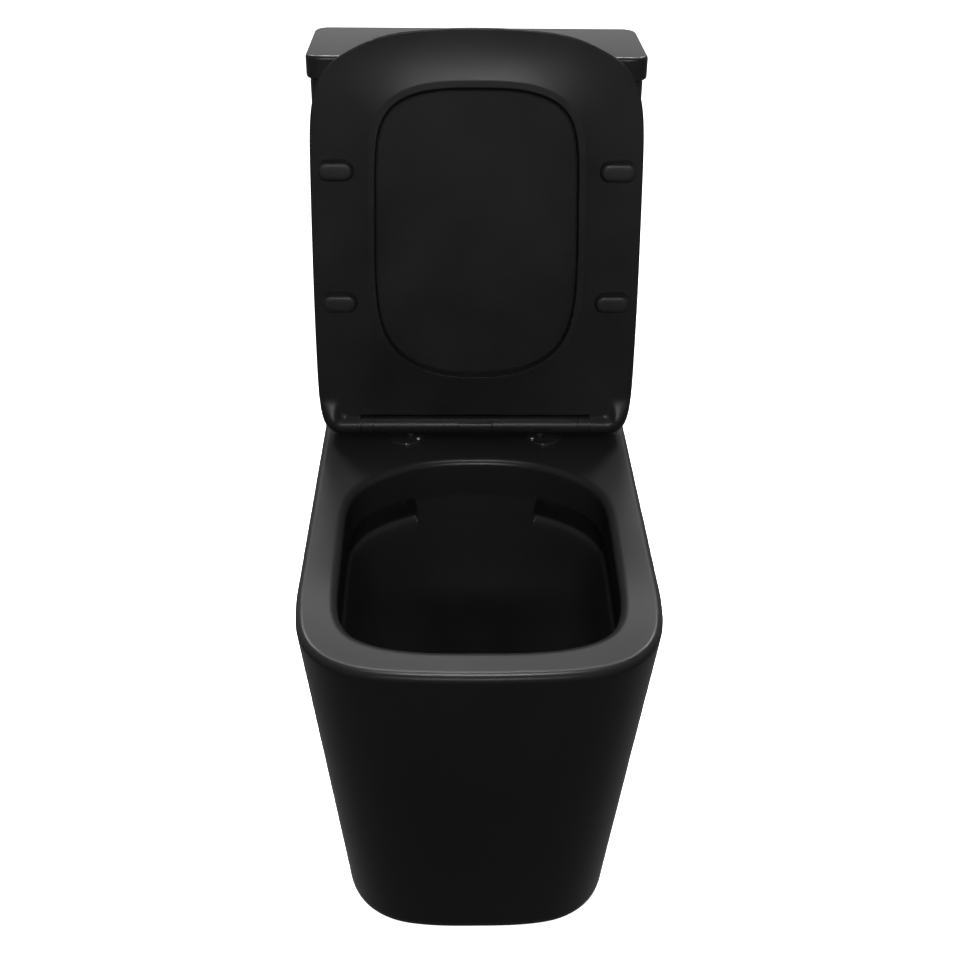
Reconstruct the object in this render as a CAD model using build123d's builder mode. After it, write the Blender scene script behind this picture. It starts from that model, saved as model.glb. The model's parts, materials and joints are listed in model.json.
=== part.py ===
from build123d import *
import os
from math import sin, cos, atan2, radians, sqrt, pi

# Close coupled toilet. Millimetres, +Z up, front towards -Y, origin on the
# floor in the middle of the footprint box.

os.makedirs("parts", exist_ok=True)

# ------------------------------------------------------------------ dimensions
DEPTH = 642.0                 # pan front to cistern back
Y_F = -DEPTH / 2 - 0.35       # pan front outline at rim height, before its edge rounding
Y_B = DEPTH / 2               # wall plane
RIM_Z = 400.0                 # rim height
RIM_GROW = 0.9                # rim outline grows by this to the sharp top edge
BASE_HALF = 148.5             # half width at the floor
BASE_SET = 57.3               # how far the base front is set back
WALL = 10.0                   # ceramic thickness of the pan skin
DECK = 13.0                   # ceramic thickness of the rim and deck
ROLL = 7.0                    # rolled edge of the rim opening

HINGE_Y = 130.6               # seat hinge axis
HINGE_Z = 416.0
LEAN = 3.6                    # raised seat leans back by this angle
RING_D0, RING_D1 = -8.0, 7.0  # ring underside and top, measured from the axis plane
COVER_D0, COVER_D1 = 8.0, 20.5
POST_X = 77.5                 # seat holes, 155 mm apart
DISC_X, DISC_Y = 81.5, 125.1  # centres of the eccentric plates on the seat posts
BAR_R = 11.0
BAR_HALF = 121.2
PANEL_W, PANEL_H, PANEL_Z = 48.0, 18.8, 416.4     # raised panel round the release button
BUTTON_W, BUTTON_H, BUTTON_Z = 39.4, 13.6, 415.2  # release button
KNUCKLE_END = 135.6

TANK_HALF = 180.6
TANK_YF = 183.6
TANK_YB = 319.0
TANK_Z0 = 402.0
TANK_Z1 = 806.9
TANK_WALL = 9.0
TANK_FLOOR = 12.0
LID_HALF = 184.4
LID_YF = 180.1
LID_Z0 = 808.4
LID_Z1 = 833.9
VALVE_Y = 250.0               # flush valve, buttons and coupling bolts line
BOLT_X = 95.0                 # cistern coupling bolts
FILL_X = 138.0                # inlet valve

TRAP_R = 41.0                 # trapway bore radius
SPIGOT_R = 51.0               # outlet outside radius (102 mm spigot)
OUTLET_Z = 190.0

# outline tables, right half, front to back: x and distance behind the pan front
RIM_PTS = [(0, 0), (45, 0.7), (80, 2.6), (104, 5.8), (124, 11.4), (141, 20.4),
           (156, 34), (168, 51.5), (175.8, 73), (179.9, 97), (181.9, 122), (182.5, 147)]
BASE_PTS = [(0, 57.3), (40, 58.0), (66, 60.6), (86, 65.0), (103, 72.6), (117, 83),
            (128.5, 96.5), (137, 112), (142.8, 129), (146.3, 147), (148, 165), (148.5, 182)]
OPEN_PTS = [(0, 40.6), (40, 41.0), (60, 42.6), (78, 45.6), (95, 50.4), (110, 57.4),
            (122, 66.8), (130.4, 79), (136, 93.5), (139.3, 110), (141, 130),
            (141.8, 163), (142.3, 203), (142.9, 240), (142.9, 268), (141.8, 292),
            (138, 314), (130.6, 332), (119, 348), (104, 361.5), (87, 373),
            (69, 382), (50, 388), (26, 391.6), (0, 392.6)]
# raised seat, right half: x and distance from the hinge axis
SEAT_PTS = [(181.6, 9.5), (183.8, 25), (185.0, 52), (185.1, 90), (184.8, 140),
            (184.0, 195), (182.7, 255), (181.3, 310), (179.7, 347), (176.6, 373),
            (170.3, 394.5), (160.4, 410.8), (147, 423), (130.6, 432.6), (111, 441.4),
            (87, 447.8), (60, 451.2), (30, 453.0), (0, 453.5)]
SEAT_OPEN = [(0, 64.3), (24, 65.3), (46, 69.2), (66, 76.8), (84, 88.4), (97.5, 104.2),
             (106.4, 124), (111.2, 148), (113.2, 178), (113.0, 220), (111.4, 275),
             (109.6, 318), (106.8, 341), (100.8, 360), (89.4, 374.6), (72, 384.8),
             (50, 390.6), (24, 392.9), (0, 393.2)]


COVER_REC_PTS = [(0, 24), (120, 24), (146, 27), (160, 36), (166.5, 52), (168, 80), (168, 140),
                 (167, 195), (165.8, 255), (164.2, 310), (162, 345), (157.6, 367),
                 (149.5, 386), (137, 401), (121, 413), (100, 423), (76, 430), (50, 434), (0, 436)]


def mirrored(pts):
    """Right half outline, first and last point on the centre line, made whole."""
    right = [(x, y) for x, y in pts]
    left = [(-x, y) for x, y in reversed(pts[1:-1])]
    return right + left


def closed_face(pts):
    """One smooth closed outline as a sketch."""
    with BuildSketch() as s:
        with BuildLine():
            Spline(*pts, periodic=True)
        make_face()
    return s.sketch


def pan_face(half_pts, y_back, inset=0.0, grow=0.0):
    """Pan plan outline: curved front, straight sides and back."""
    top = half_pts[-1][0]
    pts = [(x * (1 + grow / top), Y_F + y - grow * (1 - x / top)) for x, y in half_pts]
    if inset:
        # step each point inwards, square to the outline
        last = len(pts) - 1
        inner = []
        for i, (x, y) in enumerate(pts):
            ax, ay = pts[max(i - 1, 0)]
            bx, by = pts[min(i + 1, last)]
            tx, ty = (1, 0) if i == 0 else ((0, 1) if i == last else (bx - ax, by - ay))
            size = sqrt(tx * tx + ty * ty)
            inner.append((x - inset * ty / size, y + inset * tx / size))
        pts, y_back = inner, y_back - inset
    hw, yc = pts[-1]
    with BuildSketch() as s:
        with BuildLine():
            Spline(*pts, tangents=[(1, 0), (0, 1)], tangent_scalars=[1.0, 1.0])
            Line((hw, yc), (hw, y_back))
            Line((hw, y_back), (-hw, y_back))
            Line((-hw, y_back), (-hw, yc))
            Spline(*[(-x, y) for x, y in reversed(pts)], tangents=[(0, -1), (1, 0)], tangent_scalars=[1.0, 1.0])
        make_face()
    return s.sketch


def shrink(pts, sx, sy, y0, w=0.0, a=1.0, b=1.0, yc=0.0):
    """Opening outline scaled about its middle and blended towards an ellipse."""
    out = []
    for x, y in pts:
        dx, dy = x, (Y_F + y) - y0
        ang = atan2(dy / 176.0, dx / 143.0)
        ex, ey = a * cos(ang), b * sin(ang) + yc
        out.append(((1 - w) * dx * sx + w * ex, (1 - w) * (dy * sy + y0) + w * ey))
    return out


COVER_RECESS = mirrored(COVER_REC_PTS)
OPEN_MID = Y_F + 216.6        # middle of the rim opening
# bowl sections: z, x scale, y scale, blend, ellipse half axes, ellipse centre y
BOWL = [
    (351.0, 0.994, 0.994, 0.0, 1, 1, 0),
    (322.0, 0.975, 0.970, 0.0, 1, 1, 0),
    (270.0, 0.905, 0.900, 0.10, 128, 158, OPEN_MID + 4),
    (210.0, 0.78, 0.80, 0.45, 104, 124, OPEN_MID + 18),
    (150.0, 0.70, 0.70, 0.85, 74, 90, OPEN_MID + 34),
    (100.0, 0.60, 0.60, 1.0, 52, 62, OPEN_MID + 48),
    (56.0, 0.50, 0.50, 1.0, 40, 42, OPEN_MID + 52),
]
SUMP_Y = OPEN_MID + 52


def bowl_section(k, grow=0.0):
    z, sx, sy, w, a, b, yc = BOWL[k]
    return shrink(mirrored(OPEN_PTS), sx + grow / 143.0, sy + grow / 176.0, OPEN_MID,
                  w, a + grow, b + grow, yc)


SEAT = Plane(origin=(0, HINGE_Y, HINGE_Z), x_dir=(1, 0, 0),
             z_dir=(0, -cos(radians(LEAN)), sin(radians(LEAN))))


def seat_at(d):
    """Sketch plane parallel to the raised seat, d mm behind the hinge axis plane."""
    return SEAT.offset(-d)


def trap_path():
    with BuildLine(Plane.YZ) as l:
        FilletPolyline((SUMP_Y, 56), (SUMP_Y + 84, 56), (SUMP_Y + 160, OUTLET_Z),
                       (Y_B - 30, OUTLET_Z), radius=58)
    return l.line


# ------------------------------------------------------------------------- pan
# The ceramic is drawn as the three castings it is put together from before
# firing: the skirt with its deck and rim, the bowl with its flush gallery, and
# the trapway with its outlet spigot. They meet face to face.
UNDER = RIM_Z - DECK          # underside of the deck

with BuildPart() as pan:
    # tapered outer body
    with BuildSketch(Plane.XY):
        add(pan_face(BASE_PTS, Y_B))
    with BuildSketch(Plane.XY.offset(RIM_Z)):
        add(pan_face(RIM_PTS, Y_B, grow=RIM_GROW))
    loft(ruled=True)
    top = pan.faces().sort_by(Axis.Z)[-1]
    fillet([e for e in top.edges() if e.center().Y < Y_B - 1], 8.0)
    # hollow underneath, open at the floor
    with BuildSketch(Plane.XY.offset(-1)):
        add(pan_face(BASE_PTS, Y_B, WALL))
    with BuildSketch(Plane.XY.offset(UNDER)):
        add(pan_face(RIM_PTS, Y_B, WALL + 1.5))
    loft(ruled=True, mode=Mode.SUBTRACT)
    # opening with a rolled edge
    with BuildSketch(Plane.XY.offset(UNDER - 5)):
        add(closed_face([(x, Y_F + y) for x, y in mirrored(OPEN_PTS)]))
    extrude(amount=DECK + 10, mode=Mode.SUBTRACT)
    fillet(pan.faces().sort_by(Axis.Z)[-1].inner_wires()[0].edges(), ROLL)
    # coupling, seat, bolt and inlet clearance holes through the deck
    with BuildSketch(Plane.XY.offset(RIM_Z - 20)):
        with Locations((0, VALVE_Y)):
            Circle(48)
        with Locations((-POST_X, HINGE_Y), (POST_X, HINGE_Y)):
            Circle(7.5)
        with Locations((-BOLT_X, VALVE_Y), (BOLT_X, VALVE_Y)):
            Circle(7.0)
        with Locations((FILL_X, VALVE_Y)):
            Circle(25)
    extrude(amount=30, mode=Mode.SUBTRACT)
    # rear cut-out for the soil pipe
    with BuildSketch(Plane(origin=(0, Y_B - 14.5, 0), x_dir=(1, 0, 0), z_dir=(0, -1, 0))):
        with Locations((0, 130)):
            RectangleRounded(190, 290, 40)
    extrude(amount=-16, mode=Mode.SUBTRACT)
    # side fixing holes, counterbored outside for the caps
    for sx in (-1, 1):
        with BuildSketch(Plane(origin=(sx * 200, 200, 45), x_dir=(0, 1, 0), z_dir=(-sx, 0, 0))):
            Circle(4.5)
        extrude(amount=75, mode=Mode.SUBTRACT)
        with BuildSketch(Plane(origin=(sx * 200, 200, 45), x_dir=(0, 1, 0), z_dir=(-sx, 0, 0))):
            Circle(11.0)
        extrude(amount=51.5, mode=Mode.SUBTRACT)
pan.part.label = "pan"
print("pan", pan.part.is_valid, len(pan.part.solids()), round(pan.part.volume), pan.part.bounding_box())
export_step(pan.part, "parts/pan.step")

# outside of the bowl casting, kept as a solid to trim the trapway against
with BuildPart() as bowl_outside:
    for z, k in ((UNDER, 0), (BOWL[0][0], 0)):
        with BuildSketch(Plane.XY.offset(z)):
            add(closed_face(bowl_section(k, 11.0)))
    loft(ruled=True)
    for k in range(len(BOWL)):
        with BuildSketch(Plane.XY.offset(BOWL[k][0] + (0.5 if k == 0 else 0))):
            add(closed_face(bowl_section(k, 10.0)))
    loft()
    with Locations((0, SUMP_Y, 56)):
        Sphere(SPIGOT_R)

# bore of the trapway, from the sump to the spigot's mouth
with BuildPart() as bore:
    with BuildSketch(Plane(origin=(0, SUMP_Y, 56), x_dir=(1, 0, 0), z_dir=(0, 1, 0))):
        Circle(TRAP_R)
    sweep(path=trap_path())
    with BuildSketch(Plane(origin=(0, Y_B - 34, OUTLET_Z), x_dir=(1, 0, 0), z_dir=(0, 1, 0))):
        Circle(TRAP_R)
    extrude(amount=20)

with BuildPart() as bowl:
    add(bowl_outside.part)
    # flush gallery walls, and the round boss that seats the coupling gasket
    with BuildSketch(Plane.XY.offset(322)):
        add(closed_face(shrink(mirrored(OPEN_PTS), 1 + 38 / 143.0, 1 + 38 / 176.0, OPEN_MID)))
        with Locations((0, 120)):
            Rectangle(334, 300, mode=Mode.INTERSECT)
        with Locations((0, 86)):
            Rectangle(224, 70)
        with Locations((0, 194)):
            Rectangle(132, 230)
    extrude(amount=40)
    with BuildSketch(Plane.XY.offset(352)):
        with Locations((0, VALVE_Y)):
            Circle(57)
    extrude(amount=UNDER - 352)
    # ---- cuts
    with BuildSketch(Plane.XY.offset(350.0)):
        add(closed_face([(x, Y_F + y) for x, y in mirrored(OPEN_PTS)]))
    extrude(amount=60, mode=Mode.SUBTRACT)
    for k in range(len(BOWL)):
        with BuildSketch(Plane.XY.offset(BOWL[k][0])):
            add(closed_face(bowl_section(k)))
    loft(mode=Mode.SUBTRACT)
    with Locations((0, SUMP_Y, 56)):
        Sphere(TRAP_R, mode=Mode.SUBTRACT)
    add(bore.part, mode=Mode.SUBTRACT)
    # flush outlets left and right of the plain block at the back of the bowl
    with BuildSketch(Plane.XY.offset(331)):
        add(closed_face(shrink(mirrored(OPEN_PTS), 1 + 28 / 143.0, 1 + 28 / 176.0, OPEN_MID)))
        with Locations((0, 80)):
            Rectangle(312, 200, mode=Mode.INTERSECT)
        with Locations((0, 44)):
            Rectangle(136, 86, mode=Mode.SUBTRACT)
        with Locations((0, 97)):
            Rectangle(200, 22)
        with Locations((0, 194)):
            Rectangle(108, 212)
    extrude(amount=22, mode=Mode.SUBTRACT)
    # gasket seat and flush hole
    with BuildSketch(Plane.XY.offset(376)):
        with Locations((0, VALVE_Y)):
            Circle(48)
    extrude(amount=30, mode=Mode.SUBTRACT)
    with BuildSketch(Plane.XY.offset(340)):
        with Locations((0, VALVE_Y)):
            Circle(34)
    extrude(amount=40, mode=Mode.SUBTRACT)
    # the gallery walls stop at the skirt
    add(pan.part, mode=Mode.SUBTRACT)
bowl.part.label = "bowl"
print("bowl", bowl.part.is_valid, len(bowl.part.solids()), round(bowl.part.volume), bowl.part.bounding_box())
export_step(bowl.part, "parts/bowl.step")

with BuildPart() as trapway:
    with BuildSketch(Plane(origin=(0, SUMP_Y, 56), x_dir=(1, 0, 0), z_dir=(0, 1, 0))):
        Circle(SPIGOT_R)
    sweep(path=trap_path())
    add(bowl_outside.part, mode=Mode.SUBTRACT)
    add(bore.part, mode=Mode.SUBTRACT)
trapway.part.label = "trapway"
print("trapway", trapway.part.is_valid, len(trapway.part.solids()), round(trapway.part.volume), trapway.part.bounding_box())
export_step(trapway.part, "parts/trapway.step")

# --------------------------------------------------------------- cistern shell
with BuildPart() as cistern_tank:
    with BuildSketch(Plane.XY.offset(TANK_Z0)):
        with Locations((0, (TANK_YF + TANK_YB) / 2)):
            RectangleRounded(2 * TANK_HALF, TANK_YB - TANK_YF, 15)
    extrude(amount=TANK_Z1 - TANK_Z0)
    fillet(cistern_tank.faces().sort_by(Axis.Z)[0].edges(), 6)
    with BuildSketch(Plane.XY.offset(TANK_Z0 + TANK_FLOOR)):
        with Locations((0, (TANK_YF + TANK_YB) / 2)):
            RectangleRounded(2 * (TANK_HALF - TANK_WALL), TANK_YB - TANK_YF - 2 * TANK_WALL, 8)
    extrude(amount=500, mode=Mode.SUBTRACT)
    fillet(cistern_tank.faces().sort_by(Axis.Z)[-1].edges(), 2)
    with BuildSketch(Plane.XY.offset(TANK_Z0 - 1)):
        with Locations((0, VALVE_Y)):
            Circle(32)
        with Locations((-BOLT_X, VALVE_Y), (BOLT_X, VALVE_Y)):
            Circle(6)
        with Locations((FILL_X, VALVE_Y)):
            Circle(11.5)
    extrude(amount=20, mode=Mode.SUBTRACT)

with BuildPart() as cistern_lid:
    with BuildSketch(Plane.XY.offset(LID_Z0)):
        with Locations((0, (LID_YF + Y_B) / 2)):
            RectangleRounded(2 * LID_HALF, Y_B - LID_YF, 17)
    extrude(amount=LID_Z1 - LID_Z0)
    fillet(cistern_lid.faces().sort_by(Axis.Z)[-1].edges(), 4)
    fillet(cistern_lid.faces().sort_by(Axis.Z)[0].edges(), 3)
    # locating rib that drops inside the tank rim
    with BuildSketch(Plane.XY.offset(LID_Z0)):
        with Locations((0, (TANK_YF + TANK_YB) / 2)):
            RectangleRounded(2 * (TANK_HALF - TANK_WALL - 2), TANK_YB - TANK_YF - 2 * TANK_WALL - 4, 7)
            RectangleRounded(2 * (TANK_HALF - TANK_WALL - 9), TANK_YB - TANK_YF - 2 * TANK_WALL - 18, 5, mode=Mode.SUBTRACT)
    extrude(amount=-8)
    # hollow underside and the button hole
    with BuildSketch(Plane.XY.offset(LID_Z0 - 9)):
        with Locations((0, (TANK_YF + TANK_YB) / 2)):
            RectangleRounded(2 * (TANK_HALF - TANK_WALL - 9), TANK_YB - TANK_YF - 2 * TANK_WALL - 18, 5)
    extrude(amount=822 - LID_Z0 + 9, mode=Mode.SUBTRACT)
    with BuildSketch(Plane.XY.offset(815)):
        with Locations((0, VALVE_Y)):
            Circle(23)
    extrude(amount=30, mode=Mode.SUBTRACT)

with BuildPart() as lid_pads:
    with BuildSketch(Plane.XY.offset(TANK_Z1)):
        with Locations(*[(sx * (TANK_HALF - 4.5), y) for sx in (-1, 1) for y in (208, 296)]):
            Circle(2.4)
    extrude(amount=LID_Z0 - TANK_Z1)

with BuildPart() as cistern_pads:
    with BuildSketch(Plane.XY.offset(RIM_Z)):
        with Locations(*[(sx * 152, y) for sx in (-1, 1) for y in (206, 296)]):
            RectangleRounded(24, 16, 4)
    extrude(amount=TANK_Z0 - RIM_Z)

# ------------------------------------------------------------- close coupling
with BuildPart() as coupling_gasket:
    with BuildSketch(Plane.XY.offset(376)):
        with Locations((0, VALVE_Y)):
            Circle(47.2)
            Circle(30.8, mode=Mode.SUBTRACT)
    extrude(amount=26)
    with BuildSketch(Plane.XY.offset(391.6)):
        with Locations((0, VALVE_Y)):
            Circle(40.6)
    extrude(amount=12, mode=Mode.SUBTRACT)

with BuildPart() as coupling_bolts:
    with BuildSketch(Plane.XY.offset(416)):
        with Locations((-BOLT_X, VALVE_Y), (BOLT_X, VALVE_Y)):
            RegularPolygon(8.5, 6)
    extrude(amount=5.5)
    with BuildSketch(Plane.XY.offset(364)):
        with Locations((-BOLT_X, VALVE_Y), (BOLT_X, VALVE_Y)):
            Circle(4)
    extrude(amount=53)

with BuildPart() as bolt_cone_washers:
    with BuildSketch(Plane.XY.offset(414)):
        with Locations((-BOLT_X, VALVE_Y), (BOLT_X, VALVE_Y)):
            Circle(14)
            Circle(4.1, mode=Mode.SUBTRACT)
    extrude(amount=2)

with BuildPart() as bolt_plate_washers:
    with BuildSketch(Plane.XY.offset(384)):
        with Locations((-BOLT_X, VALVE_Y), (BOLT_X, VALVE_Y)):
            Circle(13)
            Circle(4.2, mode=Mode.SUBTRACT)
    extrude(amount=2)

with BuildPart() as wing_nuts:
    with BuildSketch(Plane.XY.offset(374)):
        with Locations((-BOLT_X, VALVE_Y), (BOLT_X, VALVE_Y)):
            Circle(8)
    extrude(amount=10)
    with BuildSketch(Plane.XY.offset(370)):
        with Locations((-BOLT_X, VALVE_Y), (BOLT_X, VALVE_Y)):
            RectangleRounded(34, 4, 1.5)
    extrude(amount=12)
    with BuildSketch(Plane.XY.offset(369)):
        with Locations((-BOLT_X, VALVE_Y), (BOLT_X, VALVE_Y)):
            Circle(4.1)
    extrude(amount=20, mode=Mode.SUBTRACT)
    with BuildSketch(Plane.XY.offset(369)):
        with Locations((-BOLT_X, VALVE_Y), (BOLT_X, VALVE_Y)):
            Circle(8)
    extrude(amount=5, mode=Mode.SUBTRACT)

# ---------------------------------------------------------------- flush valve
with BuildPart() as flush_valve_base:
    with BuildSketch(Plane.XY.offset(368)):
        with Locations((0, VALVE_Y)):
            Circle(30)
    extrude(amount=49)
    with BuildSketch(Plane.XY.offset(416.5)):
        with Locations((0, VALVE_Y)):
            Circle(42)
    extrude(amount=4.5)
    with BuildSketch(Plane.XY.offset(421)):
        with Locations((0, VALVE_Y)):
            Circle(28)
    extrude(amount=3)
    with BuildSketch(Plane.XY.offset(367)):
        with Locations((0, VALVE_Y)):
            Circle(25)
    extrude(amount=60, mode=Mode.SUBTRACT)

with BuildPart() as flush_valve_washer:
    with BuildSketch(Plane.XY.offset(414)):
        with Locations((0, VALVE_Y)):
            Circle(41)
            Circle(30.2, mode=Mode.SUBTRACT)
    extrude(amount=2.5)

with BuildPart() as flush_valve_nut:
    with BuildSketch(Plane.XY.offset(392)):
        with Locations((0, VALVE_Y)):
            RegularPolygon(40, 6)
            Circle(30.1, mode=Mode.SUBTRACT)
    extrude(amount=10)

with BuildPart() as flush_tower:
    with BuildSketch(Plane.XY.offset(421)):
        with Locations((0, VALVE_Y)):
            Circle(41.5)
            Circle(35.5, mode=Mode.SUBTRACT)
    extrude(amount=7)
    with BuildSketch(Plane.XY.offset(421)):
        with Locations((0, VALVE_Y)):
            with PolarLocations(38.4, 4, start_angle=45):
                Circle(3.0)
    extrude(amount=296)
    with BuildSketch(Plane.XY.offset(716)):
        with Locations((0, VALVE_Y)):
            Circle(46)
            Circle(22, mode=Mode.SUBTRACT)
            Rectangle(6, 60, mode=Mode.SUBTRACT)
    extrude(amount=6)
    # cross plate that guides the lever ears
    with BuildSketch(Plane.XY.offset(716)):
        with Locations((-30, VALVE_Y)):
            Rectangle(26, 30)
    extrude(amount=6)
    for sy in (-1, 1):
        with BuildSketch(Plane.XY.offset(722)):
            with Locations((-24, VALVE_Y + sy * 10.3)):
                Rectangle(11, 4)
        extrude(amount=18)
    with BuildSketch(Plane(origin=(-24, VALVE_Y - 20, 734), x_dir=(1, 0, 0), z_dir=(0, 1, 0))):
        Circle(2.0)
    extrude(amount=40, mode=Mode.SUBTRACT)

with BuildPart() as lift_lever_pin:
    with BuildSketch(Plane(origin=(-24, VALVE_Y - 13, 734), x_dir=(1, 0, 0), z_dir=(0, 1, 0))):
        Circle(2.0)
    extrude(amount=26)

with BuildPart() as lift_lever:
    with BuildSketch(Plane.XY.offset(732)):
        with Locations((-26, VALVE_Y)):
            RectangleRounded(40, 15, 3)
    extrude(amount=4)
    with BuildSketch(Plane(origin=(-24, VALVE_Y - 7.5, 734), x_dir=(1, 0, 0), z_dir=(0, 1, 0))):
        Circle(4.2)
    extrude(amount=15)
    with BuildSketch(Plane(origin=(-24, VALVE_Y - 9, 734), x_dir=(1, 0, 0), z_dir=(0, 1, 0))):
        Circle(2.06)
    extrude(amount=18, mode=Mode.SUBTRACT)

with BuildPart() as lift_tube:
    with BuildSketch(Plane.XY.offset(430)):
        with Locations((0, VALVE_Y)):
            Circle(19)
    extrude(amount=270)
    with BuildSketch(Plane.XY.offset(427)):
        with Locations((0, VALVE_Y)):
            Circle(31)
    extrude(amount=3)
    fillet(lift_tube.edges().filter_by(GeomType.CIRCLE).sort_by(Axis.Z)[1], 1)
    with BuildSketch(Plane.XY.offset(426)):
        with Locations((0, VALVE_Y)):
            Circle(16.5)
    extrude(amount=280, mode=Mode.SUBTRACT)

with BuildPart() as flush_seal:
    with BuildSketch(Plane.XY.offset(424.3)):
        with Locations((0, VALVE_Y)):
            Circle(33)
            Circle(16.5, mode=Mode.SUBTRACT)
    extrude(amount=2.7)

with BuildPart() as lift_yoke:
    with BuildSketch(Plane.XY.offset(684)):
        with Locations((0, VALVE_Y)):
            Circle(22.5)
        with Locations((-34, VALVE_Y)):
            Rectangle(40, 10)
        with Locations((0, VALVE_Y)):
            Circle(19, mode=Mode.SUBTRACT)
    extrude(amount=6)
    with BuildSketch(Plane.XY.offset(684)):
        with Locations((-52.5, VALVE_Y)):
            Rectangle(4, 10)
    extrude(amount=58.5)
    with BuildSketch(Plane.XY.offset(738.5)):
        with Locations((-47, VALVE_Y)):
            Rectangle(15, 10)
    extrude(amount=4)

with BuildPart() as half_flush_float:
    with BuildSketch(Plane.XY.offset(560)):
        with Locations((0, VALVE_Y)):
            Circle(30)
            Circle(19.3, mode=Mode.SUBTRACT)
    extrude(amount=40)
    fillet(half_flush_float.edges().filter_by(GeomType.CIRCLE).group_by(Axis.Z)[-1].sort_by(SortBy.LENGTH)[-1], 3)

# ------------------------------------------------------------- flush buttons
FULL_X, HALF_X = -9.0, 12.0

with BuildPart() as button_bezel:
    with BuildSketch(Plane.XY.offset(798)):
        with Locations((0, VALVE_Y)):
            Circle(22.4)
    extrude(amount=LID_Z1 - 798)
    with BuildSketch(Plane.XY.offset(LID_Z1)):
        with Locations((0, VALVE_Y)):
            Circle(30)
    extrude(amount=3)
    fillet(button_bezel.edges().filter_by(GeomType.CIRCLE).sort_by(Axis.Z)[-1], 1.2)
    with BuildSketch(Plane.XY.offset(800.5)):
        with Locations((0, VALVE_Y)):
            Circle(20.6)
    extrude(amount=50, mode=Mode.SUBTRACT)
    with BuildSketch(Plane.XY.offset(797)):
        with Locations((FULL_X, VALVE_Y), (HALF_X, VALVE_Y)):
            Circle(3.5)
    extrude(amount=6, mode=Mode.SUBTRACT)

with BuildPart() as button_nut:
    with BuildSketch(Plane.XY.offset(811)):
        with Locations((0, VALVE_Y)):
            RegularPolygon(31, 6)
            Circle(22.5, mode=Mode.SUBTRACT)
    extrude(amount=11)

with BuildPart() as full_flush_button:
    with BuildSketch(Plane.XY.offset(822)):
        with Locations((0, VALVE_Y)):
            Circle(20.2)
        with Locations((14, VALVE_Y)):
            Rectangle(20, 60, mode=Mode.SUBTRACT)
    extrude(amount=14)
    fillet(full_flush_button.faces().sort_by(Axis.Z)[-1].edges(), 0.8)

with BuildPart() as half_flush_button:
    with BuildSketch(Plane.XY.offset(822)):
        with Locations((0, VALVE_Y)):
            Circle(20.2)
        with Locations((-15.3, VALVE_Y)):
            Rectangle(40, 60, mode=Mode.SUBTRACT)
    extrude(amount=14)
    fillet(half_flush_button.faces().sort_by(Axis.Z)[-1].edges(), 0.8)

with BuildPart() as full_push_rod:
    with BuildSketch(Plane.XY.offset(738.8)):
        with Locations((FULL_X, VALVE_Y)):
            Circle(3)
    extrude(amount=822 - 738.8)

with BuildPart() as half_push_rod:
    with BuildSketch(Plane.XY.offset(734)):
        with Locations((HALF_X, VALVE_Y)):
            Circle(3)
    extrude(amount=822 - 734)

with BuildPart() as half_trip_bar:
    with BuildSketch(Plane.XY.offset(729)):
        with Locations((32, VALVE_Y)):
            Rectangle(50, 8)
    extrude(amount=5)
    with BuildSketch(Plane.XY.offset(608)):
        with Locations((54.5, VALVE_Y)):
            Rectangle(5, 8)
    extrude(amount=126)
    with BuildSketch(Plane.XY.offset(608)):
        with Locations((43, VALVE_Y)):
            Rectangle(26, 8)
    extrude(amount=4)


def spring(x):
    """Compression spring between the bezel floor and a flush button."""
    with BuildPart() as p:
        with BuildLine():
            h = Helix(pitch=4.0, height=20.0, radius=4.8, center=(x, VALVE_Y, 801.2))
        with BuildSketch(Plane(origin=h @ 0, x_dir=(0, 0, 1), z_dir=h % 0)):
            Circle(0.45)
        sweep(path=h, is_frenet=True)
    return p.part


full_button_spring = spring(FULL_X)
half_button_spring = spring(HALF_X)

# ---------------------------------------------------------------- inlet valve
with BuildPart() as fill_valve_body:
    with BuildSketch(Plane.XY.offset(352)):
        with Locations((FILL_X, VALVE_Y)):
            Circle(10.48)
    extrude(amount=39)
    with BuildSketch(Plane.XY.offset(391)):
        with Locations((FILL_X, VALVE_Y)):
            Circle(10.3)
    extrude(amount=26)
    with BuildSketch(Plane.XY.offset(416.5)):
        with Locations((FILL_X, VALVE_Y)):
            Circle(19)
    extrude(amount=4.5)
    with BuildSketch(Plane.XY.offset(421)):
        with Locations((FILL_X, VALVE_Y)):
            Circle(11)
    extrude(amount=269)
    with BuildSketch(Plane.XY.offset(690)):
        with Locations((FILL_X, VALVE_Y)):
            Circle(18.5)
    extrude(amount=26)
    fillet(fill_valve_body.edges().filter_by(GeomType.CIRCLE).group_by(Axis.Z)[-1], 2)
    for sy in (-1, 1):
        with BuildSketch(Plane.XY.offset(714)):
            with Locations((126, VALVE_Y + sy * 8)):
                Rectangle(9, 4)
        extrude(amount=23)
    with BuildSketch(Plane(origin=(126, VALVE_Y - 20, 732), x_dir=(1, 0, 0), z_dir=(0, 1, 0))):
        Circle(1.5)
    extrude(amount=40, mode=Mode.SUBTRACT)
    with BuildSketch(Plane.XY.offset(350)):
        with Locations((FILL_X, VALVE_Y)):
            Circle(7.0)
    extrude(amount=50, mode=Mode.SUBTRACT)

with BuildPart() as inlet_filter:
    with BuildSketch(Plane.XY.offset(354)):
        with Locations((FILL_X, VALVE_Y)):
            Circle(6.9)
            Circle(5.5, mode=Mode.SUBTRACT)
    extrude(amount=30)
    with BuildSketch(Plane.XY.offset(384)):
        with Locations((FILL_X, VALVE_Y)):
            Circle(6.9)
    extrude(amount=1.5)

with BuildPart() as fill_valve_washer:
    with BuildSketch(Plane.XY.offset(414)):
        with Locations((FILL_X, VALVE_Y)):
            Circle(18.5)
            Circle(10.6, mode=Mode.SUBTRACT)
    extrude(amount=2.5)

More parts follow.
